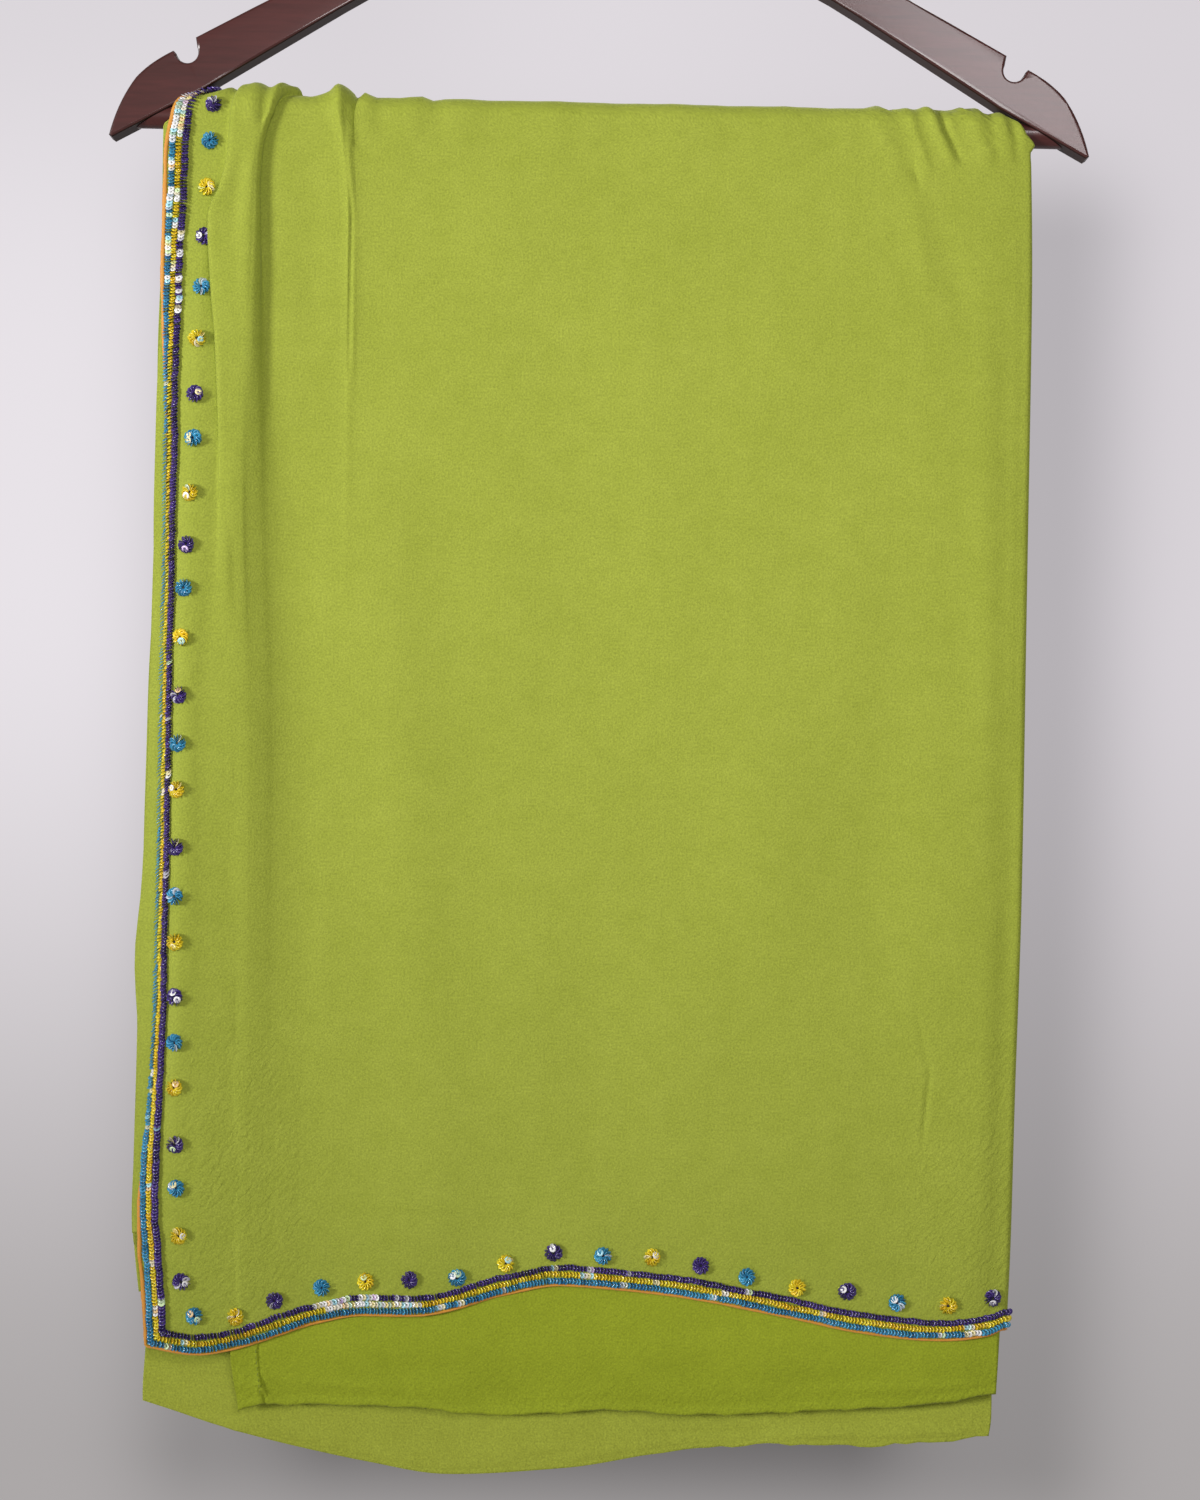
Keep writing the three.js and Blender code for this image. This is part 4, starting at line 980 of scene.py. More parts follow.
class SAREE_OT_inner_end(PieceOperator, bpy.types.Operator):
    """Hangs the plain inner end, hemmed along its cut edge and its foot"""
    bl_idname = "saree.inner_end"
    bl_label = "Inner end"

    def execute(self, context):
        cloth = settings("saree_cloth")
        across = np.concatenate([
            [0.0, 0.25, 0.7, 1.5], np.arange(3, SIDE_HEM - 1, 1.5),
            np.linspace(SIDE_HEM - 1, SIDE_HEM + 2, 10), np.arange(17, 341, 5.0),
            [342.5, 344, INNER_WIDTH]])
        x_hem = INNER_FOOT_X + across
        foot_roll = wobble(across, 24, 26, 0.5) + wobble(across, 25, 9, 0.15)
        front_hem = read(INNER_HEM, "drop", x_hem, key="x") + BEND + foot_roll
        back_hem = -(rest_of_width(front_hem - BEND, INNER_LIFT) + BEND)
        s = fall_rows(front_hem, back_hem, coarse_back=9.0)
        drop = drop_of(s)
        free = ease((drop - INNER_FREE) / 14)
        left = read(INNER_LEFT, "x", drop)
        nested = read(RIGHT_FOLD, "x", drop) - fold_radius(drop) - 0.8
        right = mix(nested, 193.4 - 0.03 * (drop - 560), free)
        x = left + across[None, :] * (right - left) / INNER_WIDTH
        loose = ease(drop / 100)
        foot = front_hem[None, :] - s
        strip = ease((SIDE_HEM + 0.4 - across[None, :]) / 0.9)
        groove = -0.25 * np.exp(-((across[None, :] - SIDE_HEM - 0.5) / 0.7) ** 2)
        rolled = 0.5 * np.exp(-((foot - 1.4) / 1.3) ** 2) - 0.3 * np.exp(-((foot - 4.4) / 1.0) ** 2)
        knot = np.exp(-((x + 140.5) / 3.4) ** 2 - ((foot - 8) / 6.0) ** 2)
        twist = np.sin(1.9 * (x + 140) + 0.9 * foot) * 0.7 + 1.1
        rise = (strip * (0.34 + 0.14 * wobble(drop, 21, 19, 1.0)) + groove + rolled
                + knot * twist + 0.2 * strip * wobble(drop + across[None, :] * 0.8, 22, 6.5, 1.0)
                + unevenness(x, drop, 23, 48, 0.22)
                + free * unevenness(x, drop * 2.4, 26, 60, 0.5))
        under_outer = outer_top(drop) - 1.0
        lift = inner_top(drop) + loose * rise
        lift = mix(np.minimum(lift, under_outer), lift, free) * pressed(right - x)
        set_back = 2.5 * ease((drop - 556) / 26)
        lift = lift + (creases(INNER_CREASES, x, drop) - set_back) * (s > 0)
        points = hang(x, s, lift)
        pucker = np.maximum(0.5 * strip, 0.9 * knot) + 0.3 + 0.4 * np.exp(-(foot / 14) ** 2)
        obj = cloth_sheet("inner_end_cloth", points, np.stack([across[None, :] + 0 * s, s], -1),
                          pucker, cloth.thickness * 0.85)
        finish_piece(obj, "cloth_inner", shared_material(
            "Crepe, inner end", cloth_material, cloth.inner, cloth.inner_shade), "inner_end_panel")
        return {"FINISHED"}


STITCHED = (470.0, 580.0)  # drops between which the side hem's stitches show
STITCH_PITCH, STITCH_LENGTH, STITCH_RADIUS = 2.6, 1.7, 0.14


class SAREE_OT_hem_stitches(PieceOperator, bpy.types.Operator):
    """Sews the line of stitches along the inner end's side hem"""
    bl_idname = "saree.hem_stitches"
    bl_label = "Hem stitches"

    def execute(self, context):
        cloth = settings("saree_cloth")
        drop = np.arange(*STITCHED, STITCH_PITCH)
        left = read(INNER_LEFT, "x", drop)
        x = left + SIDE_HEM - 0.9 + wobble(drop, 31, 40, 0.25)
        centre = hang(x, drop + BEND, inner_top(drop) + 0.42)
        turn = np.arange(6) * math.pi / 3
        stations = [(-0.5, 0.2), (-0.36, 1.0), (0.36, 1.0), (0.5, 0.2)]
        template = np.array([(STITCH_RADIUS * r * math.cos(a), STITCH_RADIUS * r * math.sin(a),
                              STITCH_LENGTH * t) for t, r in stations for a in turn])
        quads = grid_quads(len(stations), 6, closed=True)
        caps = [[0, 5, 2, 1], [5, 4, 3, 2], [18, 19, 20, 23], [23, 20, 21, 22]]
        axes = np.zeros((len(drop), 3, 3))
        axes[:, 0] = (1, 0, 0)
        axes[:, 1] = (0, -1, 0)
        axes[:, 2] = (0, 0, -1)
        faces = np.concatenate([quads, caps])[:, ::-1]
        points, faces = stamp(template, faces, centre, axes, np.ones(len(drop)))
        obj = mesh_object("hem_stitches", points, faces)
        finish_piece(obj, "cloth_inner", shared_material(
            "Sewing thread", cord_material, cloth.inner_shade, linear("6a781a")))
        return {"FINISHED"}


LONG_FOOT_LEFT, LONG_FOOT_RIGHT = -195.3, 191.5
LONG_LIFT = 0.5
LONG_LEFT = table("drop x", [(500, -197.4), (560, -195.8), (620, -195.0)])
LONG_RIGHT = table("drop x", [(500, 193.6), (560, 192.4), (585, 192.2), (600, 190.6), (620, 190)])


class SAREE_OT_long_layer(PieceOperator, bpy.types.Operator):
    """Hangs the layer next to the bar, the lowest at the back"""
    bl_idname = "saree.long_layer"
    bl_label = "Long layer"

    def execute(self, context):
        cloth = settings("saree_cloth")
        u = np.concatenate([[0, 0.002, 0.006], np.linspace(0.014, 0.986, 72), [0.994, 0.998, 1]])
        x_hem = mix(LONG_FOOT_LEFT, LONG_FOOT_RIGHT, u)
        scallops = wobble(x_hem, 41, 30, 0.7) + wobble(x_hem, 44, 11, 0.25)
        scallops = scallops * ease((x_hem - 20) / 70)
        back_hem = -(read(LONG_HEM, "drop", x_hem, key="x") + BEND + scallops)
        front_hem = rest_of_width(-back_hem - BEND, LONG_LIFT) + BEND
        s = fall_rows(front_hem, back_hem, coarse=9.0, coarse_back=5.0)
        drop = drop_of(s)
        free = ease((drop - 540) / 40)
        left = mix(read(STACK_LEFT, "x", drop) + 0.8, read(LONG_LEFT, "x", drop), free)
        nested = read(RIGHT_FOLD, "x", drop) - fold_radius(drop) - 1.2
        x = mix(left, mix(nested, read(LONG_RIGHT, "x", drop), free), u[None, :])
        foot = s - back_hem[None, :]
        loose = ease((drop - 40) / 120)
        tuck = creases(LONG_CREASES, x, drop)
        rolled = 0.45 * np.exp(-((foot - 1.6) / 1.4) ** 2) - 0.25 * np.exp(-((foot - 4.6) / 1.2) ** 2)
        rise = unevenness(x, drop, 42, 60, 0.12) * loose
        rise += free * (unevenness(x, drop, 43, 90, 0.8) + tuck + rolled)
        forward = 10.0 * ease((drop - 522) / 75)  # the free foot swings in towards the front
        points = hang(x, s, 0.85 + rise * np.where(free > 0, 1, 0.3) - forward)
        pucker = 0.3 + 0.5 * np.exp(-(foot / 20) ** 2)
        flat = np.stack([u[None, :] * PASS_WIDTH + 0 * s, s], -1)
        obj = cloth_sheet("long_layer_cloth", points, flat, pucker, cloth.thickness)
        finish_piece(obj, "cloth_low", shared_material(
            "Crepe, long layer", cloth_material, cloth.low, cloth.low_shade), "long_layer")
        return {"FINISHED"}


STACK_PASSES = 6
STACK_BOTTOM = 1.3
STACK_THICKNESS = 0.12  # thinner than the real cloth, so that all the passes fit
STACK_FRONT_DROP, STACK_BACK_DROP = 512.0, 546.0


class SAREE_OT_folded_layers(PieceOperator, bpy.types.Operator):
    """Folds the hidden layers back and forth between the long layer and the inner end"""
    bl_idname = "saree.folded_layers"
    bl_label = "Folded layers"

    def execute(self, context):
        cloth = settings("saree_cloth")
        rng = np.random.default_rng(51)
        flat_steps = np.linspace(0, 1, 12)
        turn_steps = np.linspace(0, 1, 7)[1:-1]
        columns = []  # pass, share across, share round the fold at its end
        for k in range(STACK_PASSES):
            shares = flat_steps if k % 2 == 0 else flat_steps[::-1]
            columns += [(k, share, 0.0) for share in shares]
            if k + 1 < STACK_PASSES:
                columns += [(k, shares[-1], turn) for turn in turn_steps]
        layer, across, turn = np.array(columns).T
        hem_shift = rng.uniform(-6, 6, STACK_PASSES + 1)
        shift = np.interp(layer + turn, np.arange(STACK_PASSES + 1), hem_shift)
        front_hem = STACK_FRONT_DROP + BEND + shift
        back_hem = -(STACK_BACK_DROP + BEND + shift * 0.6)
        s = fall_rows(front_hem, back_hem, fine=3.2, coarse=11.0, coarse_back=11.0)
        drop = drop_of(s)
        spacing = (stack_top(drop) - STACK_BOTTOM - 0.2) / STACK_PASSES
        left = read(STACK_LEFT, "x", drop) + 0.4
        right = read(RIGHT_FOLD, "x", drop) - fold_radius(drop) - 1.6
        for k in range(STACK_PASSES):
            place = (layer == k)[None, :]
            depth = rng.uniform(0.1, 2.2)
            left = np.where(place, left + depth + wobble(drop, 60 + k, 210, 0.7), left)
            right = np.where(place, right - rng.uniform(0, 2) + wobble(drop, 70 + k, 190, 0.6), right)
        x = mix(left, right, across[None, :])
        bulge = np.sin(math.pi * turn)[None, :] * spacing * 0.9
        x = x + np.where(layer % 2 == 0, bulge, -bulge)
        level = layer + (1 - np.cos(math.pi * turn)) / 2
        lift = STACK_BOTTOM + spacing * (level[None, :] + 0.75)
        points = hang(x, s, lift * pressed(right - x))
        length = (layer + across) * PASS_WIDTH
        obj = cloth_sheet("folded_layers_cloth", points, np.stack([length[None, :] + 0 * s, s], -1),
                          np.full(s.shape, 0.3), STACK_THICKNESS * MM)
        finish_piece(obj, "cloth_stack", shared_material(
            "Crepe, folded layers", cloth_material, cloth.outer, cloth.outer_shade), "folded_layers")
        return {"FINISHED"}


PIPING_C, PIPING_HEM, PIPING_STEP = 0.95, 0.55, 1.6


class SAREE_OT_piping(PieceOperator, bpy.types.Operator):
    """Pipes the cut edge and both hems of the outer end"""
    bl_idname = "saree.piping"
    bl_label = "Piping"

    def execute(self, context):
        border = settings("saree_border")
        s, c, at = border_path(PIPING_C, PIPING_HEM, PIPING_STEP)
        off_front, off_back = outer_hem(c, 1) - s, s - outer_hem(c, -1)
        on_side = ease((26 - c) / 12) * ease((off_front - 1) / 5) * ease((off_back - 1) / 5)
        c = c + on_side * wobble(at, 81, 46, 0.22)
        centres, ahead, side, up = frames_along(s, c, np.full_like(s, -0.1))
        half_width = mix(0.62, 1.02, on_side) * (1 + wobble(at, 82, 30, 0.12) + wobble(at, 83, 7, 0.08))
        half_height = mix(0.62, 0.72, on_side) * (1 + wobble(at, 84, 9, 0.06))
        obj = swept_tube("edge_piping_cord", centres, side, up, half_width, half_height)
        finish_piece(obj, "piping", shared_material(
            "Piping cloth", cord_material, border.piping, linear("cc8426")), "edge_piping")
        return {"FINISHED"}


# Rows of sequins: distance from the cut edge, distance from the hem, and the disc's radius there.
SEQUIN_ROWS = {
    "blue": {"side": 4.0, "hem": 2.75, "side_radius": 1.6, "hem_radius": 1.5},
    "yellow": {"side": 7.1, "hem": 5.6, "side_radius": 1.45, "hem_radius": 1.4},
    "purple": {"side": 10.2, "hem": 8.5, "side_radius": 1.75, "hem_radius": 1.5},
}
TILT = math.radians(-47)
# The flatter tilt of the sequins that carry painted glints.
PEARL_GLINT_TILT = math.radians(-22)
# Stretches of the front edge where the sequins get painted glints, white or pearly: row, drop from, drop
# to.
PEARL_GLINTS = [
    ("blue", -BEND, 14.5), ("blue", 22, 26.7), ("blue", 35.6, 45), ("blue", 46.5, 49),
    ("blue", 58, 65.7), ("blue", 74.7, 78.6), ("blue", 123, 125.5), ("yellow", -BEND, 11),
    ("yellow", 35.6, 41.3),
    ("yellow", 49, 54), ("yellow", 68.4, 73.4), ("purple", 55.4, 59.2), ("purple", 64.3, 66.9),
    ("purple", 75.8, 78.4), ("purple", 81, 83), ("purple", 85, 87), ("purple", 89, 91.5),
    ("purple", 537, 540), ("yellow", 486, 489), ("yellow", 541.5, 544.5),
]
# Where the front hem's sequins get painted glints, white or pearly:
HEM_PEARL_GLINTS = [  # row, x from, x to
    ("purple", -117, -101), ("purple", -96, -88), ("purple", -80, -78), ("purple", -75.5, -73.5),
    ("yellow", -111, -69), ("blue", -184, -181), ("yellow", -177, -174), ("yellow", 177, 182),
    ("blue", 178, 184), ("purple", 6, 10), ("yellow", 3, 9), ("purple", 78, 81), ("blue", -62, -58),
]


DEEP_TONES = {"blue": "2674a8", "yellow": "fccc28", "purple": "32245f"}


def film_materials():
    """The film of each colour of sequin, built once."""
    border = settings("saree_border")
    return {name: shared_material(f"Sequins, {name}", sequin_material, getattr(border, name), linear(deep))
            for name, deep in DEEP_TONES.items()}


def tell_apart(obj, template, pearl, tint, hue, tucked):
    """Gives each sequin of a piece its painted glint, tint and hue, and painted shade on the part of every
    one that lies under the next.
    """
    for name, values in (("pearl", pearl), ("tint", np.clip(tint, 0, 1)), ("hue", hue)):
        add_values(obj, name, np.repeat(values, len(template)))
    add_values(obj, "tucked", np.tile(tucked, len(hue)))


class SAREE_OT_sequin_rows(PieceOperator, bpy.types.Operator):
    """Stitches the three strings of sequins round the outer end"""
    bl_idname = "saree.sequin_rows"
    bl_label = "Sequin rows"

    def execute(self, context):
        border = settings("saree_border")
        template, faces = sequin_template()
        finishes = film_materials()
        for number, (name, row) in enumerate(SEQUIN_ROWS.items()):
            rng = np.random.default_rng(100 + number)
            s, c, at = border_path(row["side"], row["hem"], border.pitch / MM)
            count = len(s)
            on_hem = ease((c - row["side"] - 1) / 4)
            c = c + (1 - on_hem) * (wobble(at, 110, 62, 0.3) + wobble(at, 111 + number, 17, 0.2))
            s = s + on_hem * (wobble(at, 120, 54, 0.25) + wobble(at, 121 + number, 13, 0.14))
            c = np.clip(c, 0.5, PATH_END)
            size = mix(row["side_radius"], row["hem_radius"], on_hem) * rng.uniform(0.92, 1.06, count)
            x, drop = outer_face(s, c)[:, 0], drop_of(s)
            pearl = self.pearl_glints(name, s, c, x, drop, rng)
            tilt = mix(TILT, PEARL_GLINT_TILT, pearl) + rng.normal(0, 0.13, count)
            out = size * (np.sin(np.abs(tilt)) * 0.82 + 0.12)
            origin, ahead, side, normal = frames_along(s, c, out)
            origin += side * rng.uniform(-0.12, 0.12, (count, 1))
            axis, lying = turned(normal, ahead, tilt)
            side, lying = turned(side, lying, rng.normal(0, 0.16, count))
            axis = np.cross(lying, side)
            points, quads = stamp(template, faces, origin, np.stack([lying, side, axis], 1), size)
            obj = mesh_object(f"sequins_{name}", points, quads, smooth=False)
            tint = rng.normal(0.6, 0.25, count) + 0.25 * wobble(at, 130 + number, 80, 1)
            # painted shade on the side of each sequin that lies under the next one
            tucked = ease((0.35 - template[:, 0]) / 1.1)
            tell_apart(obj, template, pearl, tint, rng.random(count), tucked)
            finish_piece(obj, f"sequins_{name}", finishes[name], f"sequin_row_{name}")
        return {"FINISHED"}

    def pearl_glints(self, name, s, c, x, drop, rng):
        """How much painted glint each sequin of a row gets: whole stretches, and a few here and there."""
        pearl = np.zeros(len(s))
        for which, low, high in PEARL_GLINTS:
            if which == name:
                pearl[(s > 0) & (c < 16) & (drop > low) & (drop < high)] = 1
        for which, low, high in HEM_PEARL_GLINTS:
            if which == name:
                pearl[(s > 0) & (drop > 500) & (c > 11) & (x > low) & (x < high)] = 1
        pearl *= rng.uniform(0.5, 1.4, len(s)).clip(0, 1)
        for start in rng.integers(0, len(s), 18):
            pearl[start:start + rng.integers(1, 3)] = rng.uniform(0.4, 0.9)
        return pearl


# Rosettes down the front of the cut edge: drop, with the directions of the flat sequins on top
# (degrees from right, anticlockwise), None where there is none.
SIDE_ROSETTES = [
    (-1.5, None, None), (13.7, None, None), (35, 30, None), (57.6, 180, None), (80.7, None, None),
    (104.3, -25, None), (129.6, 20, None), (149.5, 150, 215), (174, 235, None), (197.5, 270, None),
    (216.9, None, None), (239.1, 300, None), (264.9, 80, None), (286.6, None, None),
    (307.4, 160, None), (333.2, None, None), (355.3, None, None), (375.7, 265, None),
    (400.5, 100, 330), (420.9, None, None), (441.2, 60, None), (467, 250, None), (486.9, 115, None),
    (508.5, 0, None), (529.3, -25, None),
]
HEM_ROSETTES = [  # along the front hem: x, drop, directions of the flat sequins
    (-170.6, 544.9, 140, -45), (-152.1, 545, None, None), (-134.6, 537.3, None, None),
    (-113.5, 531, None, None), (-93.7, 527.8, 110, None), (-73.8, 526.5, None, None),
    (-52.6, 525.1, 80, 150), (-30.6, 518.3, 60, None), (-9, 512.8, 100, None), (13.2, 513.6, 130, None),
    (35.4, 514, 40, None), (57.6, 517.2, None, None), (78.5, 521.7, None, None),
    (101.2, 526.1, None, None), (123.8, 527.4, 150, None), (146.6, 531.9, 135, None),
    (169.6, 532.7, None, None), (189.5, 529.1, 265, None),
]
ROSETTE_C = 20.0  # distance from the cut edge
ROSETTE_RING = 2.35
ROSETTE_PETALS = 12
ROSETTE_DISC = 1.8
# On the back: how many down the side and along the hem, where each line starts, and its spacing.
BACK_SIDE = {"count": 24, "start": 16.0, "spacing": 22.3, "uneven": 1.5}
BACK_HEM = {"count": 17, "start": -151.0, "spacing": 20.9, "uneven": 1.2}
BACK_HEM_DISTANCE = 17.3
BACK_FLAT_SHARE = 0.55  # share of the back's rosettes with a flat sequin on top
SIDE_ORDER = ("purple", "blue", "yellow")
HEM_ORDER = ("blue", "yellow", "purple")


def evenly(line, k, rng):
    """Where a rosette of a line comes, and the direction of its flat sequin if it has one."""
    at = line["start"] + line["spacing"] * k + rng.uniform(-line["uneven"], line["uneven"])
    return at, [rng.uniform(0, 360) if rng.random() < BACK_FLAT_SHARE else None]


def rosette_places():
    """Colour, s, c and flat sequins of every rosette, front and back."""
    rng = np.random.default_rng(200)
    places = []
    for k, (drop, *flats) in enumerate(SIDE_ROSETTES):
        places.append((SIDE_ORDER[k % 3], drop + BEND, ROSETTE_C, flats))
    c_line = np.arange(15.0, 380, 0.5)
    for k, (x, drop, *flats) in enumerate(HEM_ROSETTES):
        x_line = outer_face(np.full_like(c_line, drop + BEND), c_line)[:, 0]
        places.append((HEM_ORDER[k % 3], drop + BEND, float(np.interp(x, x_line, c_line)), flats))
    back_hem = outer_hem(c_line, -1) + BACK_HEM_DISTANCE
    for k in range(BACK_SIDE["count"]):
        drop, flats = evenly(BACK_SIDE, k, rng)
        places.append((SIDE_ORDER[-1 - k % 3], -(drop + BEND), ROSETTE_C, flats))
    x_line = outer_face(back_hem, c_line)[:, 0]
    for k in range(BACK_HEM["count"]):
        x, flats = evenly(BACK_HEM, k, rng)
        c = float(np.interp(x, x_line, c_line))
        places.append((HEM_ORDER[k % 3], float(np.interp(c, c_line, back_hem)), c, flats))
    return places


class SAREE_OT_rosettes(PieceOperator, bpy.types.Operator):
    """Sews the rosettes, each a ring of sequins on edge round a knot, some with flat ones on top"""
    bl_idname = "saree.rosettes"
    bl_label = "Rosettes"

    def execute(self, context):
        template, faces = sequin_template()
        finishes = film_materials()
        rng = np.random.default_rng(300)
        discs = {name: {"origin": [], "axes": [], "size": [], "pearl": []} for name in finishes}
        knots = []
        for name, s, c, flats in rosette_places():
            origin, ahead, side, normal = (v[1] for v in frames_along(
                np.array([s - 0.4, s, s + 0.4]), np.full(3, c), np.full(3, 0.2)))
            right = side if side[0] > 0 else -side
            up = np.cross(normal, right)
            if up[2] < 0:
                up = -up
            knots.append((origin, right, up, normal))
            start, swing = rng.uniform(0, 2 * math.pi), rng.choice([-1, 1])
            squeeze = rng.uniform(0.88, 1.06)
            for k in range(ROSETTE_PETALS):
                turn = start + swing * 2 * math.pi * (k + rng.uniform(-0.18, 0.18)) / ROSETTE_PETALS
                radial = right * math.cos(turn) * squeeze + up * math.sin(turn)
                tangent = up * math.cos(turn) - right * math.sin(turn)
                tilt = math.radians(rng.uniform(40, 60)) * swing
                axis = normal * math.cos(tilt) + tangent * math.sin(tilt)
                lying = tangent * math.cos(tilt) - normal * math.sin(tilt)
                record = discs[name]
                reach = ROSETTE_RING * rng.uniform(0.94, 1.05)
                record["origin"].append(origin + radial * reach + normal * 1.25)
                record["axes"].append([lying, radial / np.linalg.norm(radial), axis])
                record["size"].append(ROSETTE_DISC * rng.uniform(0.94, 1.05))
                # a few petals get a painted glint
                record["pearl"].append(0.6 if rng.random() < 0.07 else 0.0)
            for angle in (flat for flat in flats if flat is not None):
                turn = math.radians(angle)
                radial = right * math.cos(turn) + up * math.sin(turn)
                axis = normal + radial * rng.uniform(0.3, 0.8)
                axis /= np.linalg.norm(axis)
                lying = np.cross(axis, up)
                lying /= np.linalg.norm(lying)
                record = discs[name]
                record["origin"].append(origin + radial * ROSETTE_RING * 0.85 + normal * 2.2)
                record["axes"].append([lying, np.cross(axis, lying), axis])
                record["size"].append(rng.uniform(1.45, 1.75))
                # the flat sequin on top gets a full painted glint
                record["pearl"].append(1.0)
        for name, record in discs.items():
            points, quads = stamp(template, faces, np.array(record["origin"]), np.array(record["axes"]),
                                  np.array(record["size"]))
            obj = mesh_object(f"rosettes_{name}", points, quads, smooth=False)
            count = len(record["size"])
            tint = rng.normal(0.75, 0.24, count)
            # a lighter painted shade where each petal lies under the next one
            tucked = 0.35 * ease((0.3 - template[:, 0]) / 1.1)
            tell_apart(obj, template, record["pearl"], tint, rng.random(count), tucked)
            finish_piece(obj, f"sequins_{name}", finishes[name])
        self.sew_knots(knots)
        return {"FINISHED"}

    def sew_knots(self, knots):
        """A small dark thread knot in the middle of each rosette."""
        stations = [(0.0, 0.5), (0.5, 0.95), (1.05, 0.7), (1.3, 0.2)]
        turn = np.arange(8) * math.pi / 4
        template = np.array([(r * math.cos(a), r * math.sin(a), z) for z, r in stations for a in turn])
        quads = grid_quads(len(stations), 8, closed=True)
        caps = []
        for base in (0, 24):
            for k in range(3):
                cap = [base + k, base + k + 1, base + 6 - k, base + 7 - k]
                caps.append(cap if base else cap[::-1])
        origin = np.array([k[0] for k in knots])
        axes = np.array([[k[1], k[2], k[3]] for k in knots])
        points, faces = stamp(template, np.concatenate([quads[:, ::-1], caps]), origin, axes,
                              np.full(len(knots), 0.85))
        obj = mesh_object("rosette_knots", points, faces)
        finish_piece(obj, "sequins_purple", shared_material(
            "Knot thread", cord_material, linear("3a3350"), linear("1d1a2c")))


class SAREE_OT_hanger(PieceOperator, bpy.types.Operator):
    """Finishes the board, the bar and the hook"""
    bl_idname = "saree.hanger"
    bl_label = "Hanger"

    def execute(self, context):
        hanger = settings("saree_hanger")
        board = shared_material("Stained board", wood_material, hanger.light, hanger.dark, True)
        bar = shared_material("Stained bar", wood_material, hanger.light, hanger.dark, False)
        steel = shared_material("Hook steel", steel_material)
        for node_name, piece, slot, finish, angle in (
                ("hanger_board", "hanger_arms", "board_wood", board, 24),
                ("trouser_bar", "hanger_bar", "bar_wood", bar, 40),
                ("wire_hook", "hanger_hook", "hook_steel", steel, 60)):
            self.finished_copy(node_name, piece, slot, finish, angle)
        return {"FINISHED"}

    def finished_copy(self, node_name, piece, slot, finish, angle):
        """A merged copy of a solid, smooth but for its real edges."""
        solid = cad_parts[node_name]
        obj = bpy.data.objects.new(piece, solid.data.copy())
        bpy.context.scene.collection.objects.link(obj)
        only(obj)
        bpy.ops.object.mode_set(mode="EDIT")
        bpy.ops.mesh.select_all(action="SELECT")
        bpy.ops.mesh.remove_doubles(threshold=0.00001)
        bpy.ops.mesh.tris_convert_to_quads(face_threshold=0.1, shape_threshold=0.6)
        bpy.ops.object.mode_set(mode="OBJECT")
        bpy.ops.object.shade_smooth_by_angle(angle=math.radians(angle))
        flats = obj.modifiers.new("flat faces stay flat", "WEIGHTED_NORMAL")
        flats.keep_sharp = True
        bpy.ops.object.modifier_apply(modifier=flats.name)
        finish_piece(obj, slot, finish, node_name)


FRAME_HEIGHT = 0.67815  # height that the camera sees at the cloth's face, m
FRAME_CENTRE = (6.7, 285.4)  # mm: x, and how far below the bar's centre
FRAME_ROLL = math.radians(1.3)
CLOTH_FACE_Y = -0.0142
LIT_DROP = 130.0  # how far below the bar's centre the lights are aimed
KEY_BEAM, FRONT_BEAM = 25.0, 40.0  # degrees
SENSOR = 36.0
WALL_Y, FLOOR_Z, WALL_TOP, STAGE_REACH = 3200, -2300, 3000, 6000  # mm

# A plain grey wall that glows with painted light: dim at its foot, pale from WALL_PALE up and less so on
# the right, with a painted soft shadow of the hanging cloth on it and a painted dimmer upper left.
WALL_FOOT, WALL_HEAD, WALL_HEAD_RIGHT = "aca8a8", "e8e3e8", "d8d3d8"
WALL_LOW, WALL_PALE = -1.68, -0.2
WALL_SHADES = [
    {"middle": (0.06, -0.62), "half": (0.67, 0.98), "soft": 0.125, "depth": 0.32},
    {"middle": (0.02, -1.54), "half": (0.4, 0.0), "soft": 0.115, "depth": 0.5},
    {"middle": (-0.8, 0.85), "half": (0.3, 0.1), "soft": 0.35, "depth": 0.12},
]


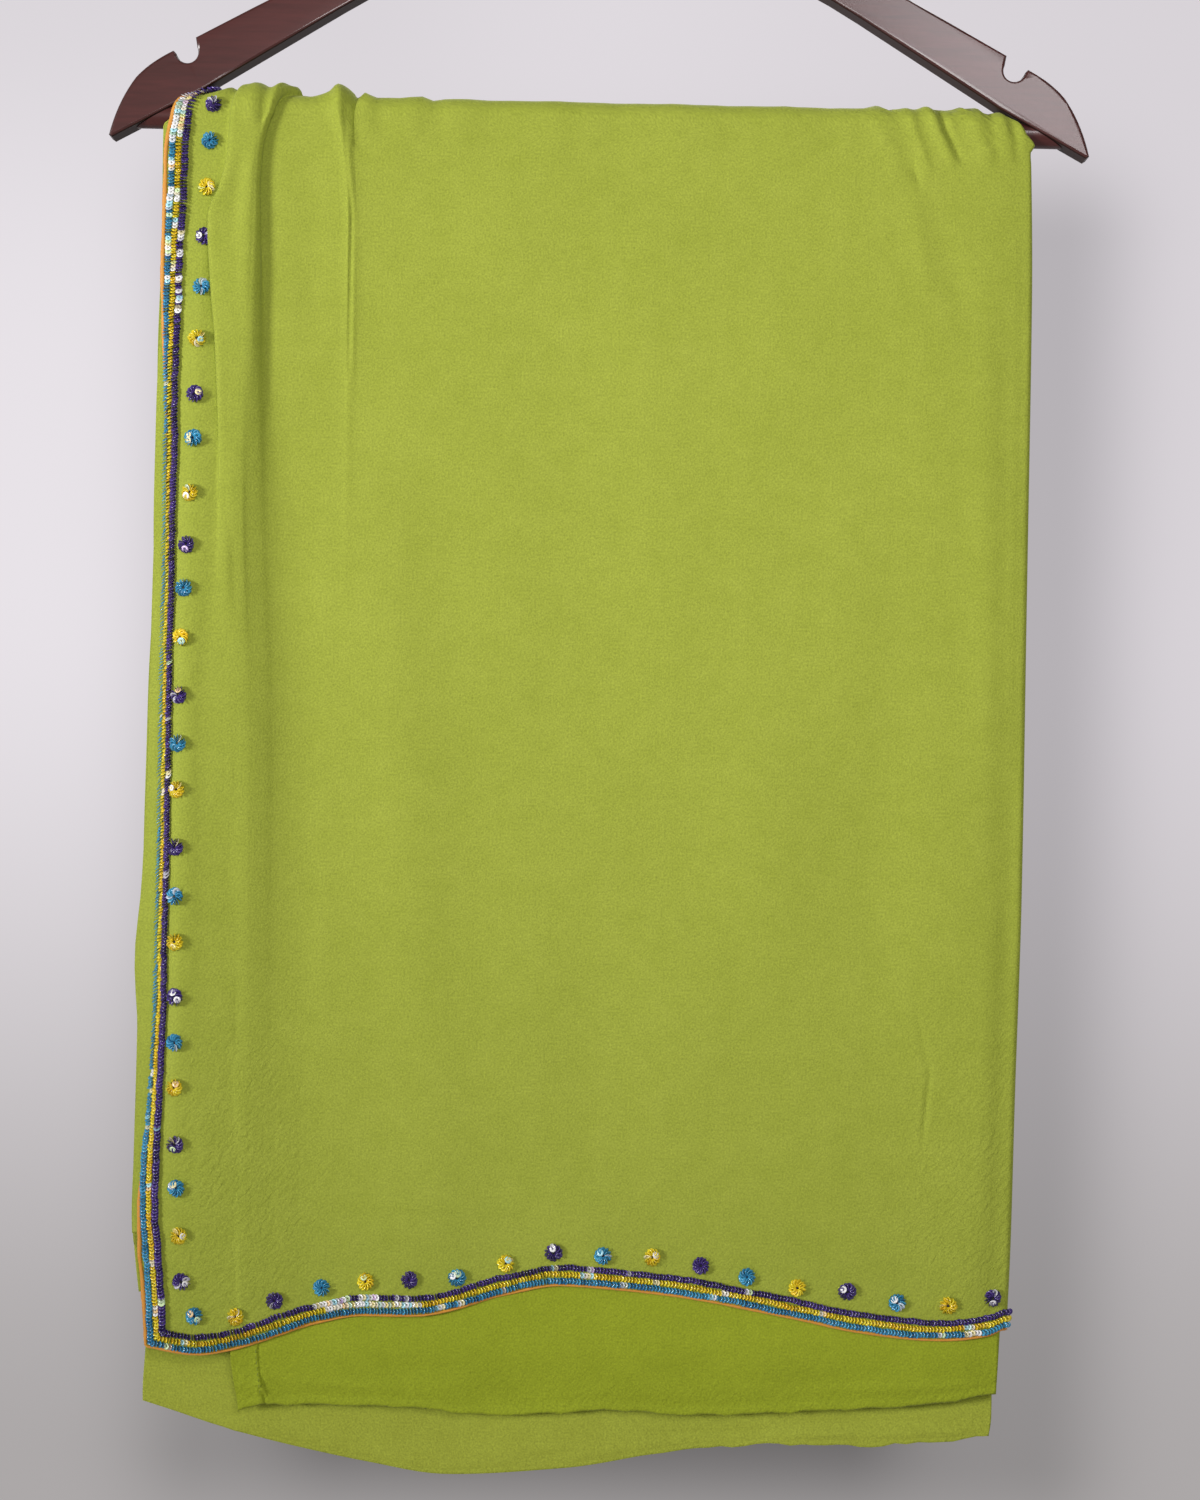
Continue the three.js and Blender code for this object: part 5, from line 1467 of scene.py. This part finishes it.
class SAREE_OT_stage(PieceOperator, bpy.types.Operator):
    """Sets up the camera, the soft studio lights, the backdrop and the floor"""
    bl_idname = "saree.stage"
    bl_label = "Stage"

    def execute(self, context):
        stage = settings("saree_stage")
        scene = context.scene
        aim = Vector((FRAME_CENTRE[0] * MM, CLOTH_FACE_Y, (BAR_Z - FRAME_CENTRE[1]) * MM))
        lens = bpy.data.cameras.new("camera")
        lens.sensor_width = SENSOR
        lens.lens = SENSOR * stage.distance / FRAME_HEIGHT
        lens.clip_end = 30
        camera = bpy.data.objects.new("camera", lens)
        scene.collection.objects.link(camera)
        right = Vector((math.cos(FRAME_ROLL), 0, math.sin(FRAME_ROLL)))
        up = Vector((-math.sin(FRAME_ROLL), 0, math.cos(FRAME_ROLL)))
        turn = Matrix((right, up, right.cross(up))).transposed().to_4x4()
        camera.matrix_world = Matrix.Translation(aim + Vector((0, -stage.distance, 0))) @ turn
        scene.camera = camera
        middle = Vector((0, CLOTH_FACE_Y, (BAR_Z - LIT_DROP) * MM))
        self.light("key", (-2.75, -2.1, -0.1), middle, 0.9, stage.key_power,
                   (1.0, 0.985, 0.97), KEY_BEAM)
        self.light("front", (0.1, -2.2, -0.15), middle, 0.5, stage.front_power,
                   (1.0, 0.99, 0.985), FRONT_BEAM)
        self.light("panel", (0.62, -2.5, 0.5), aim, 0.6, stage.panel_power, (1.0, 0.95, 0.97))
        self.light("back", (0.5, 2.2, 1.2), aim, 1.6, stage.back_power, (1.0, 1.0, 1.0))
        self.world(scene)
        self.backdrop()
        scene.view_settings.view_transform = "Standard"
        return {"FINISHED"}

    def light(self, name, place, aim, size, power, colour, beam=None):
        """A lamp aimed at a point, with a soft-edged beam where an angle is given."""
        lamp = bpy.data.lights.new(name, "SPOT" if beam else "AREA")
        if beam:
            lamp.spot_size = math.radians(beam)
            lamp.spot_blend = 1.0
            lamp.shadow_soft_size = size / 2
        else:
            lamp.size = size
        lamp.energy = power
        lamp.color = colour
        obj = bpy.data.objects.new(name, lamp)
        bpy.context.scene.collection.objects.link(obj)
        obj.location = place
        obj.rotation_euler = (aim - Vector(place)).to_track_quat("-Z", "Y").to_euler()

    def world(self, scene):
        scene.world = bpy.data.worlds.new("studio")
        scene.world.use_nodes = True
        feed(scene.world.node_tree.nodes["Background"], {
            "Color": (0.90, 0.89, 0.90, 1), "Strength": 0.2})

    def backdrop(self):
        """A pale wall far behind, which gives its own soft light, and a pale floor far below."""
        wall, tree, shader = material("Backdrop")
        place = node(tree, "ShaderNodeSeparateXYZ", {0: own_place(tree)}).outputs
        height = self.ramp(tree, place["Z"], WALL_LOW, WALL_PALE)
        across = self.ramp(tree, place["X"], -0.85, 0.85)
        head = mixed(tree, across, linear(WALL_HEAD), linear(WALL_HEAD_RIGHT))
        tone = mixed(tree, height, linear(WALL_FOOT), head)
        for blot in WALL_SHADES:
            tone = mixed(tree, 1.0, tone, self.shade(tree, place, **blot), "MULTIPLY")
        feed(shader, {"Emission Color": tone, "Emission Strength": 1.0,
                      "Base Color": (0, 0, 0, 1), "Specular IOR Level": 0.0})
        floor, _, floor_shader = material("Floor")
        feed(floor_shader, {"Base Color": linear("cfcacb"), "Roughness": 0.8})
        for name, finish, near, far in (
                ("backdrop", wall, (WALL_Y, FLOOR_Z), (WALL_Y, WALL_TOP)),
                ("floor", floor, (-STAGE_REACH, FLOOR_Z), (WALL_Y, FLOOR_Z))):
            corners = [(-STAGE_REACH, *near), (STAGE_REACH, *near),
                       (STAGE_REACH, *far), (-STAGE_REACH, *far)]
            plane = mesh_object(name, corners, [[0, 1, 2, 3]], smooth=False)
            plane.data.materials.append(finish)

    def ramp(self, tree, value, low, high):
        """0 below low, 1 above high, and smooth between."""
        return node(tree, "ShaderNodeMapRange", {
            "Value": value, "From Min": low, "From Max": high},
            interpolation_type="SMOOTHSTEP").outputs[0]

    def shade(self, tree, place, middle, half, soft, depth):
        """A soft-edged box of painted shade on the wall: 1 outside it, 1 - depth inside."""
        parts = []
        for axis, at, reach in (("X", middle[0], half[0]), ("Z", middle[1], half[1])):
            away = calc(tree, "ABSOLUTE", calc(tree, "SUBTRACT", place[axis], at))
            away = calc(tree, "SUBTRACT", away, reach)
            away = calc(tree, "DIVIDE", calc(tree, "MAXIMUM", away, 0.0), soft)
            parts.append(calc(tree, "MULTIPLY", away, away))
        fall = calc(tree, "EXPONENT", calc(tree, "MULTIPLY", calc(tree, "ADD", *parts), -1.0))
        return calc(tree, "SUBTRACT", 1.0, calc(tree, "MULTIPLY", fall, depth))


class SAREE_PT_panel(bpy.types.Panel):
    """Lists the pieces in the 3D view's sidebar"""
    bl_idname = "SAREE_PT_panel"
    bl_label = "Saree on a hanger"
    bl_space_type = "VIEW_3D"
    bl_region_type = "UI"
    bl_category = "Saree"

    def draw(self, context):
        for operator in OPERATORS:
            self.layout.operator(operator.bl_idname)
        for name in SETTINGS:
            group_settings = getattr(context.scene, name)
            for setting in group_settings.bl_rna.properties.keys():
                if setting not in ("rna_type", "name"):
                    self.layout.prop(group_settings, setting)


OPERATORS = (SAREE_OT_stage, SAREE_OT_hanger, SAREE_OT_long_layer, SAREE_OT_folded_layers,
             SAREE_OT_hem_stitches, SAREE_OT_inner_end, SAREE_OT_piping, SAREE_OT_sequin_rows,
             SAREE_OT_rosettes, SAREE_OT_outer_end)
SETTINGS = {"saree_cloth": ClothSettings, "saree_border": BorderSettings,
            "saree_hanger": HangerSettings, "saree_stage": StageSettings}


def register():
    for kind in (*SETTINGS.values(), *OPERATORS, SAREE_PT_panel):
        bpy.utils.register_class(kind)
    for name, kind in SETTINGS.items():
        setattr(bpy.types.Scene, name, bpy.props.PointerProperty(type=kind))


def unregister():
    for name in SETTINGS:
        delattr(bpy.types.Scene, name)
    for kind in reversed((*SETTINGS.values(), *OPERATORS, SAREE_PT_panel)):
        bpy.utils.unregister_class(kind)


def main():
    register()
    for operator in OPERATORS:
        group_name, verb = operator.bl_idname.split(".")
        getattr(getattr(bpy.ops, group_name), verb)()


if __name__ == "__main__":
    main()
